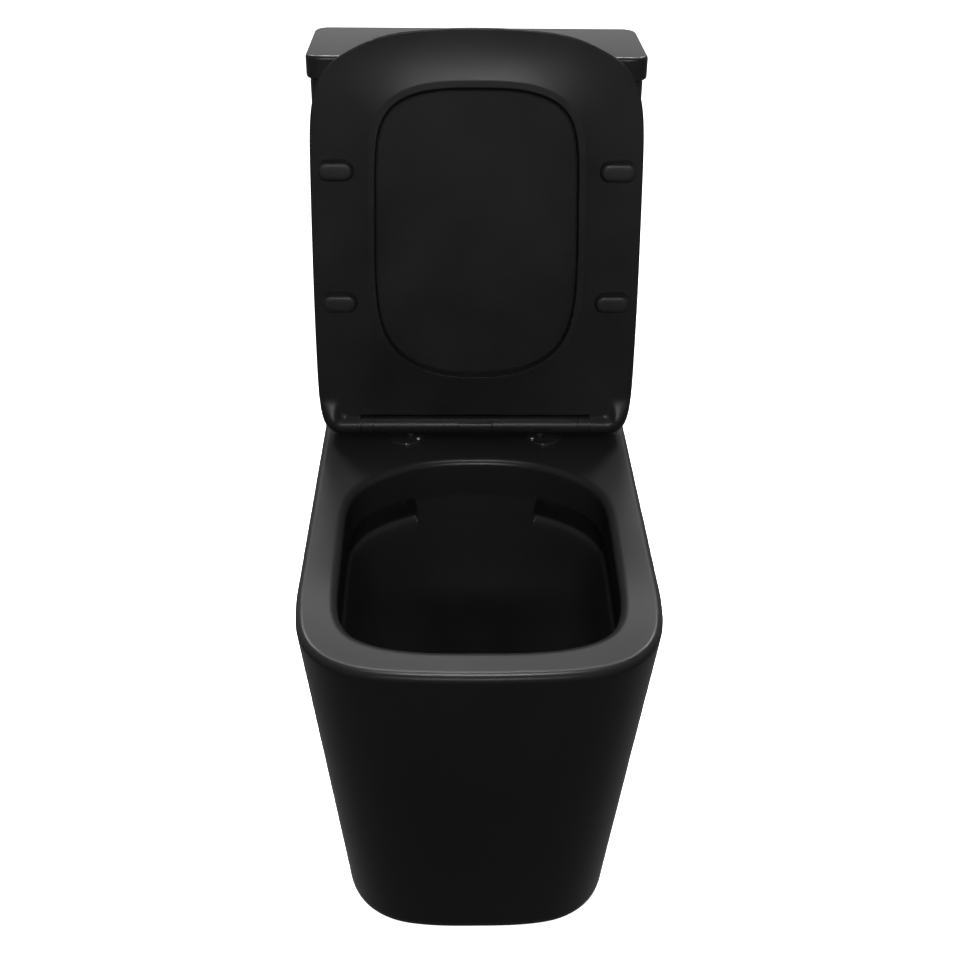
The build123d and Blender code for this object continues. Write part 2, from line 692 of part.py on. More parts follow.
with BuildPart() as fill_valve_nut:
    with BuildSketch(Plane.XY.offset(393)):
        with Locations((FILL_X, VALVE_Y)):
            RegularPolygon(17, 6)
            Circle(10.6, mode=Mode.SUBTRACT)
    extrude(amount=9)

with BuildPart() as fill_float:
    with BuildSketch(Plane.XY.offset(598)):
        with Locations((FILL_X, VALVE_Y)):
            Circle(27)
            Circle(12, mode=Mode.SUBTRACT)
    extrude(amount=56)
    fillet(fill_float.edges().filter_by(GeomType.CIRCLE).group_by(Axis.Z)[-1].sort_by(SortBy.LENGTH)[-1], 4)

with BuildPart() as float_link:
    with BuildSketch(Plane.XY.offset(654)):
        with Locations((160, VALVE_Y)):
            Circle(1.5)
    extrude(amount=86)
    with BuildSketch(Plane.XY.offset(737)):
        with Locations((160, VALVE_Y)):
            Circle(3.2)
    extrude(amount=3.5)

with BuildPart() as fill_lever:
    with BuildSketch(Plane.XY.offset(730.5)):
        with Locations((145.5, VALVE_Y)):
            RectangleRounded(47, 11, 3)
        with Locations((160.5, VALVE_Y)):
            SlotOverall(10, 4.6, mode=Mode.SUBTRACT)
    extrude(amount=3)
    with BuildSketch(Plane(origin=(126, VALVE_Y - 5.5, 732), x_dir=(1, 0, 0), z_dir=(0, 1, 0))):
        Circle(3.6)
    extrude(amount=11)
    with BuildSketch(Plane(origin=(126, VALVE_Y - 9, 732), x_dir=(1, 0, 0), z_dir=(0, 1, 0))):
        Circle(1.56)
    extrude(amount=18, mode=Mode.SUBTRACT)

with BuildPart() as fill_lever_pin:
    with BuildSketch(Plane(origin=(126, VALVE_Y - 10.5, 732), x_dir=(1, 0, 0), z_dir=(0, 1, 0))):
        Circle(1.5)
    extrude(amount=21)

# ------------------------------------------------------------------ seat hinge
def x_plane(x, sx=1, y=HINGE_Y, z=HINGE_Z):
    return Plane(origin=(x, y, z), x_dir=(0, 1, 0), z_dir=(sx, 0, 0))


with BuildPart() as hinge_bar:
    with BuildSketch(x_plane(-BAR_HALF)):
        Circle(BAR_R)
    extrude(amount=2 * BAR_HALF)
    # low raised panel that follows the bar and frames the release button
    with BuildSketch(Plane(origin=(0, HINGE_Y - 3, 0), x_dir=(1, 0, 0), z_dir=(0, -1, 0))):
        with Locations((0, PANEL_Z)):
            RectangleRounded(PANEL_W, PANEL_H, 2.5)
    extrude(amount=12)
    with BuildSketch(x_plane(-150)):
        Circle(40)
        Circle(BAR_R + 0.35, mode=Mode.SUBTRACT)
    extrude(amount=300, mode=Mode.SUBTRACT)
    with BuildSketch(Plane(origin=(0, HINGE_Y - 3.6, 0), x_dir=(1, 0, 0), z_dir=(0, -1, 0))):
        with Locations((0, BUTTON_Z)):
            RectangleRounded(BUTTON_W + 0.8, BUTTON_H + 0.8, 1.2)
    extrude(amount=12, mode=Mode.SUBTRACT)
    # damper bores at the ends
    for sx in (-1, 1):
        with BuildSketch(x_plane(sx * 89, sx)):
            Circle(7.2)
        extrude(amount=40, mode=Mode.SUBTRACT)
    # post sockets and the latch slot between them
    with BuildSketch(Plane.XY.offset(400)):
        with Locations((-POST_X, HINGE_Y), (POST_X, HINGE_Y)):
            Circle(5.1)
    extrude(amount=22, mode=Mode.SUBTRACT)
    with BuildSketch(Plane.XY.offset(414)):
        with Locations((0, HINGE_Y)):
            Rectangle(2 * 74, 6.8)
    extrude(amount=4, mode=Mode.SUBTRACT)

with BuildPart() as hinge_posts:
    with BuildSketch(Plane.XY.offset(403)):
        with Locations((-POST_X, HINGE_Y), (POST_X, HINGE_Y)):
            Circle(5)
    extrude(amount=18)
    with BuildSketch(Plane.XY.offset(414)):
        with Locations((-POST_X, HINGE_Y), (POST_X, HINGE_Y)):
            Circle(8)
            Circle(3, mode=Mode.SUBTRACT)
    extrude(amount=4, mode=Mode.SUBTRACT)

# eccentric plates, turned to bring the seat square to the pan
with BuildPart() as post_discs:
    with BuildSketch(Plane.XY.offset(RIM_Z)):
        with Locations(*[(sx * DISC_X, DISC_Y) for sx in (-1, 1)]):
            Circle(22.4)
    extrude(amount=1.2)
    with BuildSketch(Plane.XY.offset(RIM_Z)):
        with Locations(*[(sx * DISC_X, DISC_Y) for sx in (-1, 1)]):
            Circle(19.3)
    extrude(amount=3)
    fillet(post_discs.edges().filter_by(GeomType.CIRCLE).group_by(Axis.Z)[-1], 1)
    with BuildSketch(Plane.XY.offset(RIM_Z - 1)):
        with Locations((-POST_X, HINGE_Y), (POST_X, HINGE_Y)):
            Circle(4.2)
    extrude(amount=6, mode=Mode.SUBTRACT)

with BuildPart() as post_screws:
    with BuildSketch(Plane.XY.offset(403)):
        with Locations(*[(sx * 67.8, HINGE_Y - 12.2) for sx in (-1, 1)]):
            Circle(2.4)
    extrude(amount=1.9)
    fillet(post_screws.edges().filter_by(GeomType.CIRCLE).group_by(Axis.Z)[-1], 1.2)

with BuildPart() as seat_bolts:
    with BuildSketch(Plane.XY.offset(352)):
        with Locations((-POST_X, HINGE_Y), (POST_X, HINGE_Y)):
            Circle(4)
    extrude(amount=51)

with BuildPart() as seat_bolt_sleeves:
    with BuildSketch(Plane.XY.offset(386)):
        with Locations((-POST_X, HINGE_Y), (POST_X, HINGE_Y)):
            Circle(7.3)
            Circle(4.1, mode=Mode.SUBTRACT)
    extrude(amount=13.9)
    with BuildSketch(Plane.XY.offset(383)):
        with Locations((-POST_X, HINGE_Y), (POST_X, HINGE_Y)):
            Circle(12)
            Circle(4.1, mode=Mode.SUBTRACT)
    extrude(amount=3)

with BuildPart() as seat_nuts:
    with BuildSketch(Plane.XY.offset(371)):
        with Locations((-POST_X, HINGE_Y), (POST_X, HINGE_Y)):
            RegularPolygon(13, 6)
            Circle(4.1, mode=Mode.SUBTRACT)
    extrude(amount=12)

with BuildPart() as release_button:
    with BuildSketch(Plane(origin=(0, HINGE_Y - 6.8, 0), x_dir=(1, 0, 0), z_dir=(0, -1, 0))):
        with Locations((0, BUTTON_Z)):
            RectangleRounded(BUTTON_W, BUTTON_H, 1.0)
    extrude(amount=6)
    with BuildSketch(x_plane(-150)):
        Circle(40)
        Circle(BAR_R + 0.5, mode=Mode.SUBTRACT)
    extrude(amount=300, mode=Mode.SUBTRACT)
    fillet(release_button.faces().sort_by(Axis.Y)[0].edges(), 0.5)

LATCH = {}
for side, sx in (("left", -1), ("right", 1)):
    with BuildPart() as latch:
        with BuildSketch(Plane.XY.offset(414.4)):
            with Locations((sx * 49.0, HINGE_Y)):
                Rectangle(50, 6.0)
        extrude(amount=3.2)
    LATCH[side] = latch.part

DAMPER = {}
for side, sx in (("left", -1), ("right", 1)):
    with BuildPart() as damper:
        with BuildSketch(x_plane(sx * 90, sx)):
            Circle(7.12)
        extrude(amount=28)
    DAMPER[side] = damper.part

with BuildPart() as hinge_pins:
    for sx in (-1, 1):
        with BuildSketch(x_plane(sx * 118, sx)):
            Circle(4)
        extrude(amount=32)

# ------------------------------------------------------------------- seat ring
def seat_face(grow=0.0, shorter=0.0):
    """Seat plan outline in the seat plane: straight rear edge, broad round rear corners."""
    cx, cs, r = 157.0, 13.0, 21.0 + grow
    pts = [(cx + (24.6 + grow) * sin(radians(t)), cs - r * cos(radians(t))) for t in (0, 20, 40, 60, 78)]
    pts += [(x + grow * min(1, x / 160), s + (grow - shorter) * s / 453.5) for x, s in SEAT_PTS[1:]]
    left = [(-x, y) for x, y in reversed(pts[:-1])]
    with BuildSketch() as sk:
        with BuildLine():
            Line((-cx, cs - r), (cx, cs - r))
            Spline(*pts, *left, tangents=[(1, 0), (1, 0)], tangent_scalars=[1.0, 1.0])
        make_face()
    return sk.sketch


with BuildPart() as seat_ring:
    with BuildSketch(seat_at(RING_D0)):
        add(seat_face())
    extrude(amount=-(RING_D1 - RING_D0))
    fillet([e for f in seat_ring.faces().filter_by(lambda f: abs(f.normal_at().dot(SEAT.z_dir)) > 0.999)
            for e in f.edges()], 4.0)
    with BuildSketch(seat_at(RING_D0 - 1)):
        add(closed_face(mirrored(SEAT_OPEN)))
    extrude(amount=-30, mode=Mode.SUBTRACT)
    fillet([e for e in seat_ring.edges() if e.length > 700 and abs((e.center() - SEAT.origin).dot(SEAT.z_dir) + RING_D0) < 0.5
            and e.length < 1100], 5.0)
    # room for the hinge bar between the rear cheeks
    with BuildSketch(seat_at(RING_D0 - 1)):
        with Locations((0, -2.75)):
            Rectangle(2 * 136.1, 34.5)
    extrude(amount=-30, mode=Mode.SUBTRACT)
    # round cheeks about the hinge line
    for sx in (-1, 1):
        with BuildSketch(Plane(origin=(sx * 136.1, HINGE_Y, HINGE_Z), x_dir=(sx, 0, 0), z_dir=(0, 0, 1))):
            with BuildLine():
                Line((0, 0), (0, 11.5 * sx))
                Line((0, 11.5 * sx), (23, 11.5 * sx))
                ThreePointArc((23, 11.5 * sx), (23 + 9 * sin(pi / 4), (2.5 + 9 * cos(pi / 4)) * sx), (32, 2.5 * sx))
                Line((32, 2.5 * sx), (32, 0))
                Line((32, 0), (0, 0))
            make_face()
        revolve(axis=Axis((0, HINGE_Y, HINGE_Z), (1, 0, 0)))
    for sx in (-1, 1):
        with BuildSketch(x_plane(sx * 130, sx)):
            Circle(4.05)
        extrude(amount=20.6, mode=Mode.SUBTRACT)

with BuildPart() as ring_bumpers:
    spots = [(sx * x, s) for sx in (-1, 1) for x, s in ((153.5, 306.2), (154.8, 155.9))]
    with BuildSketch(seat_at(RING_D0)):
        with Locations(*spots):
            SlotOverall(38, 18)
    extrude(amount=5.2)
    with BuildSketch(seat_at(RING_D0 - 5.2)):
        with Locations(*spots):
            SlotOverall(35, 15)
    extrude(amount=2.5)

# ----------------------------------------------------------------------- cover
with BuildPart() as cover:
    with BuildSketch(seat_at(COVER_D0)):
        add(seat_face(-0.3, 5.2))
    extrude(amount=-(COVER_D1 - COVER_D0))
    back = cover.faces().sort_by(Axis.Y)[-1]
    fillet([e for f in cover.faces().filter_by(lambda f: f.normal_at().dot(SEAT.z_dir) < -0.999)
            for e in f.edges()], 5.0)
    # recessed underside
    with BuildSketch(seat_at(COVER_D0 - 1)):
        add(closed_face(COVER_RECESS))
    extrude(amount=-6, mode=Mode.SUBTRACT)
    # room for the hinge bar and the ring cheeks, but not at the knuckles
    for x0, x1, r in ((-200, -135.5, 12.2), (-121.6, 121.6, 11.7), (135.5, 200, 12.2), (-27.6, 27.6, 14.9)):
        with BuildSketch(x_plane(x0)):
            Circle(r)
        extrude(amount=x1 - x0, mode=Mode.SUBTRACT)
    for sx in (-1, 1):
        with BuildSketch(x_plane(sx * 121.6, sx)):
            Circle(BAR_R)
        extrude(amount=13.9)
        with BuildSketch(x_plane(sx * 115, sx)):
            Circle(4.05)
        extrude(amount=25, mode=Mode.SUBTRACT)

with BuildPart() as cover_bumpers:
    with BuildSketch(seat_at(COVER_D0 + 5.0)):
        with Locations(*[(sx * 146, s) for sx in (-1, 1) for s in (110, 350)]):
            SlotOverall(22, 12)
    extrude(amount=5.7)

# --------------------------------------------------------------- floor fixing
with BuildPart() as floor_brackets:
    for sx in (-1, 1):
        with BuildSketch(Plane.XY):
            with Locations((sx * 119.5, 200)):
                Rectangle(37, 40)
        extrude(amount=4)
        with BuildSketch(Plane.XY.offset(4)):
            with Locations((sx * 134.5, 200)):
                Rectangle(7, 40)
        extrude(amount=58)
        with BuildSketch(x_plane(sx * 120, sx, 200, 45)):
            Circle(3.0)
        extrude(amount=20, mode=Mode.SUBTRACT)
    with BuildSketch(Plane.XY.offset(-1)):
        with Locations((-112, 200), (112, 200)):
            Circle(4.0)
    extrude(amount=8, mode=Mode.SUBTRACT)

with BuildPart() as side_screws:
    for sx in (-1, 1):
        with BuildSketch(x_plane(sx * 124, sx, 200, 45)):
            Circle(3.0)
        extrude(amount=25)
        with BuildSketch(x_plane(sx * 148.5, sx, 200, 45)):
            Circle(7.0)
        extrude(amount=2.4)

with BuildPart() as side_caps:
    for sx in (-1, 1):
        with BuildSketch(x_plane(sx * 148.5, sx, 200, 45)):
            Circle(10.8)
            Circle(9.2, mode=Mode.SUBTRACT)
        extrude(amount=2.7)
        with BuildSketch(x_plane(sx * 151.2, sx, 200, 45)):
            Circle(10.8)
        extrude(amount=2.2)

# --------------------------------------------------------------------- export
named = {
    "cistern_tank": cistern_tank.part, "cistern_lid": cistern_lid.part, "lid_pads": lid_pads.part,
    "cistern_pads": cistern_pads.part, "coupling_gasket": coupling_gasket.part,
    "coupling_bolts": coupling_bolts.part, "bolt_cone_washers": bolt_cone_washers.part,
    "bolt_plate_washers": bolt_plate_washers.part, "wing_nuts": wing_nuts.part,
    "flush_valve_base": flush_valve_base.part, "flush_valve_washer": flush_valve_washer.part,
    "flush_valve_nut": flush_valve_nut.part, "flush_tower": flush_tower.part,
    "lift_lever_pin": lift_lever_pin.part, "lift_lever": lift_lever.part,
    "lift_tube": lift_tube.part, "flush_seal": flush_seal.part, "lift_yoke": lift_yoke.part,
    "half_flush_float": half_flush_float.part, "button_bezel": button_bezel.part,
    "button_nut": button_nut.part, "full_flush_button": full_flush_button.part,
    "half_flush_button": half_flush_button.part, "full_push_rod": full_push_rod.part,
    "half_push_rod": half_push_rod.part, "half_trip_bar": half_trip_bar.part,
    "full_button_spring": full_button_spring, "half_button_spring": half_button_spring,
    "fill_valve_body": fill_valve_body.part, "inlet_filter": inlet_filter.part,
    "fill_valve_washer": fill_valve_washer.part, "fill_valve_nut": fill_valve_nut.part,
    "fill_float": fill_float.part, "float_link": float_link.part, "fill_lever": fill_lever.part,
    "fill_lever_pin": fill_lever_pin.part, "hinge_bar": hinge_bar.part,
    "hinge_posts": hinge_posts.part, "post_discs": post_discs.part, "post_screws": post_screws.part, "seat_bolts": seat_bolts.part,
    "seat_bolt_sleeves": seat_bolt_sleeves.part, "seat_nuts": seat_nuts.part,
    "release_button": release_button.part, "left_latch": LATCH["left"],
    "right_latch": LATCH["right"], "left_damper": DAMPER["left"], "right_damper": DAMPER["right"],
    "hinge_pins": hinge_pins.part, "seat_ring": seat_ring.part, "ring_bumpers": ring_bumpers.part,
    "cover": cover.part, "cover_bumpers": cover_bumpers.part,
    "floor_brackets": floor_brackets.part, "side_screws": side_screws.part,
    "side_caps": side_caps.part,
}
for name, piece in named.items():
    piece.label = name
    export_step(piece, f"parts/{name}.step")
    print(name, piece.is_valid, len(piece.solids()), round(piece.volume))
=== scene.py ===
import json
import math

import bmesh
import bpy
import numpy as np
from mathutils import Matrix, Vector


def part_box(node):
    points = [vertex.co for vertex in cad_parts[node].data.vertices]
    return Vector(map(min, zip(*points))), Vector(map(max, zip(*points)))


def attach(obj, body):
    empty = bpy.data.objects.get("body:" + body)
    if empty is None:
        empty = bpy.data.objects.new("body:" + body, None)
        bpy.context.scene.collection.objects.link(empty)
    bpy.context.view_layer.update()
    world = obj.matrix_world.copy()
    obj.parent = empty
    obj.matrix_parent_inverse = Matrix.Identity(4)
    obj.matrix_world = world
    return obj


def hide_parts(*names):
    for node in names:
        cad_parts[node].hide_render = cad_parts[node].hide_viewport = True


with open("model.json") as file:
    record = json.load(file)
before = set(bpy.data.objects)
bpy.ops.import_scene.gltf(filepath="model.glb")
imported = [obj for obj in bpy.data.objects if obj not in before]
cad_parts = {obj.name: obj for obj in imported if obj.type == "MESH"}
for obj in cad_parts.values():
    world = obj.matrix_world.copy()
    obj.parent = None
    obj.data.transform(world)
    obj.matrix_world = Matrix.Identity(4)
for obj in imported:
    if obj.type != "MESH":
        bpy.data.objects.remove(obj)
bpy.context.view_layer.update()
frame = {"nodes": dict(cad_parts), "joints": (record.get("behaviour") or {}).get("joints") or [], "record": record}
NODES = frame["nodes"]
scene = bpy.context.scene
scene.view_settings.view_transform = "Standard"


# ------------------------------------------------------------------ camera
def make_camera():
    cam = bpy.data.cameras.new("camera")
    cam.lens, cam.sensor_width = 49.16, 36.0
    cam.clip_start, cam.clip_end = 0.05, 60.0
    obj = bpy.data.objects.new("camera", cam)
    scene.collection.objects.link(obj)
    yaw, pitch, roll = math.radians(1.45), math.radians(31.272), math.radians(0.713)
    fwd = Vector((math.sin(yaw) * math.cos(pitch), math.cos(yaw) * math.cos(pitch), -math.sin(pitch)))
    right = Vector((math.cos(yaw), -math.sin(yaw), 0))
    up = right.cross(fwd)
    r = math.cos(roll) * right + math.sin(roll) * up
    u = -math.sin(roll) * right + math.cos(roll) * up
    m = Matrix((r, u, -fwd)).transposed().to_4x4()
    m.translation = Vector((-0.02269, -1.26146, 1.17662))
    obj.matrix_world = m
    scene.camera = obj
    return obj


make_camera()


# --------------------------------------------------------------- materials
def material(name):
    m = bpy.data.materials.new(name)
    m.use_nodes = True
    nt = m.node_tree
    bsdf = nt.nodes["Principled BSDF"]
    return m, nt, bsdf


def set_in(bsdf, **kw):
    for k, v in kw.items():
        bsdf.inputs[k.replace("_", " ")].default_value = v


def noise(nt, coord, scale, detail=3.0, rough=0.5, kind="ShaderNodeTexNoise"):
    n = nt.nodes.new(kind)
    n.inputs["Scale"].default_value = scale
    if "Detail" in n.inputs:
        n.inputs["Detail"].default_value = detail
    if "Roughness" in n.inputs:
        n.inputs["Roughness"].default_value = rough
    nt.links.new(coord, n.inputs["Vector"])
    return n


def ramp(nt, fac, stops):
    r = nt.nodes.new("ShaderNodeValToRGB")
    el = r.color_ramp.elements
    while len(el) < len(stops):
        el.new(0.5)
    for e, (p, c) in zip(el, stops):
        e.position = p
        e.color = (c[0], c[1], c[2], 1) if not isinstance(c, float) else (c, c, c, 1)
    nt.links.new(fac, r.inputs["Fac"])
    return r


def bump(nt, height, bsdf, strength, distance, chain=None):
    b = nt.nodes.new("ShaderNodeBump")
    b.inputs["Strength"].default_value = strength
    b.inputs["Distance"].default_value = distance
    nt.links.new(height, b.inputs["Height"])
    if chain is not None:
        nt.links.new(chain.outputs["Normal"], b.inputs["Normal"])
    nt.links.new(b.outputs["Normal"], bsdf.inputs["Normal"])
    return b


def surface(name, dark, light, rough_lo, rough_hi, cloud=9.0, grain=900.0, grain_strength=0.1,
            grain_distance=0.0002, wave=0.0, wave_scale=40.0, **fixed):
    """Two-tone clouded colour, roughness that varies with it, a long wave and a fine grain."""
    m, nt, bsdf = material(name)
    tc = nt.nodes.new("ShaderNodeTexCoord").outputs["Object"]
    big = noise(nt, tc, cloud, 4.0, 0.55)
    fine = noise(nt, tc, grain, 2.0, 0.6)
    col = ramp(nt, big.outputs["Fac"], [(0.30, dark), (0.70, light)])
    nt.links.new(col.outputs["Color"], bsdf.inputs["Base Color"])
    rr = ramp(nt, big.outputs["Fac"], [(0.25, float(rough_lo)), (0.75, float(rough_hi))])
    nt.links.new(rr.outputs["Color"], bsdf.inputs["Roughness"])
    chain = None
    if wave:
        w = noise(nt, tc, wave_scale, 2.0, 0.4)
        chain = bump(nt, w.outputs["Fac"], bsdf, wave, 0.0015)
    bump(nt, fine.outputs["Fac"], bsdf, grain_strength, grain_distance, chain)
    for k, v in fixed.items():
        bsdf.inputs[k.replace("_", " ")].default_value = v
    return m


M = {}
M["glaze"] = surface("glaze", (0.0036, 0.0036, 0.0037), (0.0048, 0.0048, 0.0049), 0.30, 0.36, cloud=5.0,
                     grain=1400.0, grain_strength=0.06, grain_distance=0.00008, wave=0.05, wave_scale=18.0,
                     Specular_IOR_Level=0.06)
M["seat"] = surface("seat_moulding", (0.0028, 0.0028, 0.0029), (0.0038, 0.0038, 0.0039), 0.36, 0.42, cloud=14.0,
                    grain=2600.0, grain_strength=0.12, grain_distance=0.00006, Specular_IOR_Level=0.06)
M["bumper"] = surface("bumper_rubber", (0.0028, 0.0028, 0.0029), (0.0038, 0.0038, 0.0039), 0.44, 0.52, cloud=30.0,
                      grain=3000.0, grain_strength=0.2, grain_distance=0.00008, Specular_IOR_Level=0.08)
M["button"] = surface("button_plastic", (0.004, 0.004, 0.0041), (0.0052, 0.0052, 0.0053), 0.32, 0.38, cloud=40.0,
                      grain=3000.0, grain_strength=0.08, grain_distance=0.00005, Specular_IOR_Level=0.15)
M["rubber"] = surface("seal_rubber", (0.035, 0.035, 0.036), (0.055, 0.054, 0.053), 0.65, 0.8, cloud=30.0,
                      grain=2200.0, grain_strength=0.25, grain_distance=0.0001)
M["white"] = surface("white_moulding", (0.70, 0.70, 0.68), (0.78, 0.78, 0.76), 0.38, 0.46, cloud=20.0,
                     grain=2200.0, grain_strength=0.08, grain_distance=0.00006)
M["blue"] = surface("blue_moulding", (0.025, 0.12, 0.42), (0.035, 0.15, 0.50), 0.3, 0.38, cloud=20.0,
                    grain=2200.0, grain_strength=0.08, grain_distance=0.00006)
M["red"] = surface("red_moulding", (0.48, 0.03, 0.025), (0.58, 0.045, 0.035), 0.3, 0.38, cloud=20.0,
                   grain=2200.0, grain_strength=0.08, grain_distance=0.00006)
M["grey"] = surface("grey_moulding", (0.16, 0.16, 0.165), (0.2, 0.2, 0.205), 0.42, 0.5, cloud=20.0,
                    grain=2200.0, grain_strength=0.1, grain_distance=0.00006)
M["steel"] = surface("stainless", (0.5, 0.5, 0.49), (0.6, 0.6, 0.585), 0.24, 0.36, cloud=60.0,
                     grain=1800.0, grain_strength=0.12, grain_distance=0.00005, Metallic=1.0)
M["chrome"] = surface("polished_metal", (0.62, 0.62, 0.62), (0.7, 0.7, 0.7), 0.08, 0.14, cloud=40.0,
                      grain=1200.0, grain_strength=0.04, grain_distance=0.00004, Metallic=1.0)
M["tube"] = surface("drawn_steel", (0.44, 0.44, 0.45), (0.54, 0.54, 0.55), 0.3, 0.4, cloud=50.0,
                    grain=1600.0, grain_strength=0.12, grain_distance=0.00005, Metallic=1.0)
M["blackmetal"] = surface("black_coated_metal", (0.004, 0.004, 0.0041), (0.006, 0.006, 0.0061), 0.16, 0.24, cloud=60.0,
                          grain=1400.0, grain_strength=0.05, grain_distance=0.00004, Specular_IOR_Level=0.1)
M["cap"] = surface("side_cap", (0.0045, 0.0045, 0.0046), (0.0058, 0.0058, 0.0059), 0.4, 0.46, cloud=30.0,
                   grain=2400.0, grain_strength=0.1, grain_distance=0.00006, Specular_IOR_Level=0.08)

SLOT = {"glaze": "glaze", "seat_plastic": "seat", "bumper_rubber": "bumper", "button_black": "button",
        "soft_rubber": "rubber", "white_plastic": "white", "blue_plastic": "blue", "red_plastic": "red",
        "grey_plastic": "grey", "stainless": "steel", "polished_metal": "chrome", "black_metal": "blackmetal", "damper_metal": "tube"}
for part in frame["record"]["subparts"]:
    obj = NODES[part["node"]]
    m = M[SLOT[part["material_slot"]]]
    obj.data.materials.clear()
    obj.data.materials.append(m)
NODES["side_caps"].data.materials[0] = M["cap"]
M["screw"] = surface("post_screw_metal", (0.20, 0.20, 0.20), (0.28, 0.28, 0.28), 0.34, 0.44, cloud=60.0,
                     grain=1600.0, grain_strength=0.06, grain_distance=0.00004, Metallic=1.0)
NODES["post_screws"].data.materials[0] = M["screw"]


# ------------------------------------------------------------ shape tables
MM = 0.001
PAN_LO, PAN_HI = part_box("pan")
BOWL_LO, BOWL_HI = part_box("bowl")
RIM_Z = PAN_HI.z / MM                      # rim height
UNDER = BOWL_HI.z / MM                     # underside of the deck
Y_BACK = PAN_HI.y / MM                     # wall plane
HW = 182.5                                 # half width of the rim outline
Y_F = PAN_LO.y / MM - 0.35                 # front of the rim outline before its rounding
HINGE = next(j for j in frame["joints"] if j["name"] == "ring_hinge")["pos_m"]
HY, HZ = HINGE[1] / MM, HINGE[2] / MM
LEAN = math.radians(3.6)

RIM_PTS = [(0, 0), (45, 0.7), (80, 2.6), (104, 5.8), (124, 11.4), (141, 20.4),
           (156, 34), (168, 51.5), (175.8, 73), (179.9, 97), (181.9, 122), (182.5, 147)]
BASE_PTS = [(0, 57.3), (40, 58.0), (66, 60.6), (86, 65.0), (103, 72.6), (117, 83),
            (128.5, 96.5), (137, 112), (142.8, 129), (146.3, 147), (148, 165), (148.5, 182)]
OPEN_PTS = [(0, 40.6), (40, 41.0), (60, 42.6), (78, 45.6), (95, 50.4), (110, 57.4),
            (122, 66.8), (130.4, 79), (136, 93.5), (139.3, 110), (141, 130),
            (141.8, 163), (142.3, 203), (142.9, 240), (142.9, 268), (141.8, 292),
            (138, 314), (130.6, 332), (119, 348), (104, 361.5), (87, 373),
            (69, 382), (50, 388), (26, 391.6), (0, 392.6)]
SEAT_PTS = [(181.6, 9.5), (183.8, 25), (185.0, 52), (185.1, 90), (184.8, 140),
            (184.0, 195), (182.7, 255), (181.3, 310), (179.7, 347), (176.6, 373),
            (170.3, 394.5), (160.4, 410.8), (147, 423), (130.6, 432.6), (111, 441.4),
            (87, 447.8), (60, 451.2), (30, 453.0), (0, 453.5)]
SEAT_OPEN = [(0, 64.3), (24, 65.3), (46, 69.2), (66, 76.8), (84, 88.4), (97.5, 104.2),
             (106.4, 124), (111.2, 148), (113.2, 178), (113.0, 220), (111.4, 275),
             (109.6, 318), (106.8, 341), (100.8, 360), (89.4, 374.6), (72, 384.8),
             (50, 390.6), (24, 392.9), (0, 393.2)]
MID = Y_F + 216.6
BOWL = [(351.0, 0.994, 0.994, 0.0, 1, 1, 0), (322.0, 0.975, 0.970, 0.0, 1, 1, 0),
        (270.0, 0.905, 0.900, 0.10, 128, 158, MID + 4), (210.0, 0.78, 0.80, 0.45, 104, 124, MID + 18),
        (150.0, 0.70, 0.70, 0.85, 74, 90, MID + 34), (100.0, 0.60, 0.60, 1.0, 52, 62, MID + 48),
        (56.0, 0.50, 0.50, 1.0, 40, 42, MID + 52)]
SUMP = (0.0, MID + 52, 56.0)


def mirrored(pts):
    return [tuple(p) for p in pts] + [(-x, y) for x, y in reversed(pts[1:-1])]


def spline(pts, closed=False, tangents=None, n=4000):
    """Smooth curve through the points, chord length parameter, as n samples."""
    p = np.array(pts, float)
    if closed:
        p = np.vstack([p, p[:1]])
    h = np.linalg.norm(np.diff(p, axis=0), axis=1)
    t = np.concatenate([[0], np.cumsum(h)])
    m = len(p)
    a, b = np.zeros((m, m)), np.zeros((m, p.shape[1]))
    for i in range(1, m - 1):
        a[i, i - 1], a[i, i], a[i, i + 1] = h[i], 2 * (h[i - 1] + h[i]), h[i - 1]
        b[i] = 3 * (h[i] / h[i - 1] * (p[i] - p[i - 1]) + h[i - 1] / h[i] * (p[i + 1] - p[i]))
    if closed:
        a[0, 0], a[0, -1] = 1, -1
        a[-1, 0], a[-1, 1] = 2 * h[-1], h[-1]
        a[-1, -2], a[-1, -1] = h[0], 2 * h[0]
        b[-1] = 3 * (h[0] / h[-1] * (p[-1] - p[-2]) + h[-1] / h[0] * (p[1] - p[0]))
    else:
        a[0, 0] = a[-1, -1] = 1
        b[0], b[-1] = tangents
    d = np.linalg.solve(a, b)
    u = np.linspace(0, t[-1], n, endpoint=not closed)
    k = np.clip(np.searchsorted(t, u, side="right") - 1, 0, m - 2)
    s = (u - t[k]) / h[k]
    hk = h[k][:, None]
    s = s[:, None]
    return ((2 * s**3 - 3 * s**2 + 1) * p[k] + (s**3 - 2 * s**2 + s) * hk * d[k]
            + (-2 * s**3 + 3 * s**2) * p[k + 1] + (s**3 - s**2) * hk * d[k + 1])


def ccw(c):
    x, y = c[:, 0], c[:, 1]
    return c if np.sum(x * np.roll(y, -1) - np.roll(x, -1) * y) > 0 else c[::-1].copy()


def outward(c):
    """Outward unit normals of a closed counter-clockwise sample."""
    t = np.roll(c, -1, 0) - np.roll(c, 1, 0)
    t /= np.maximum(np.linalg.norm(t, axis=1), 1e-9)[:, None]
    return np.stack([t[:, 1], -t[:, 0]], 1)


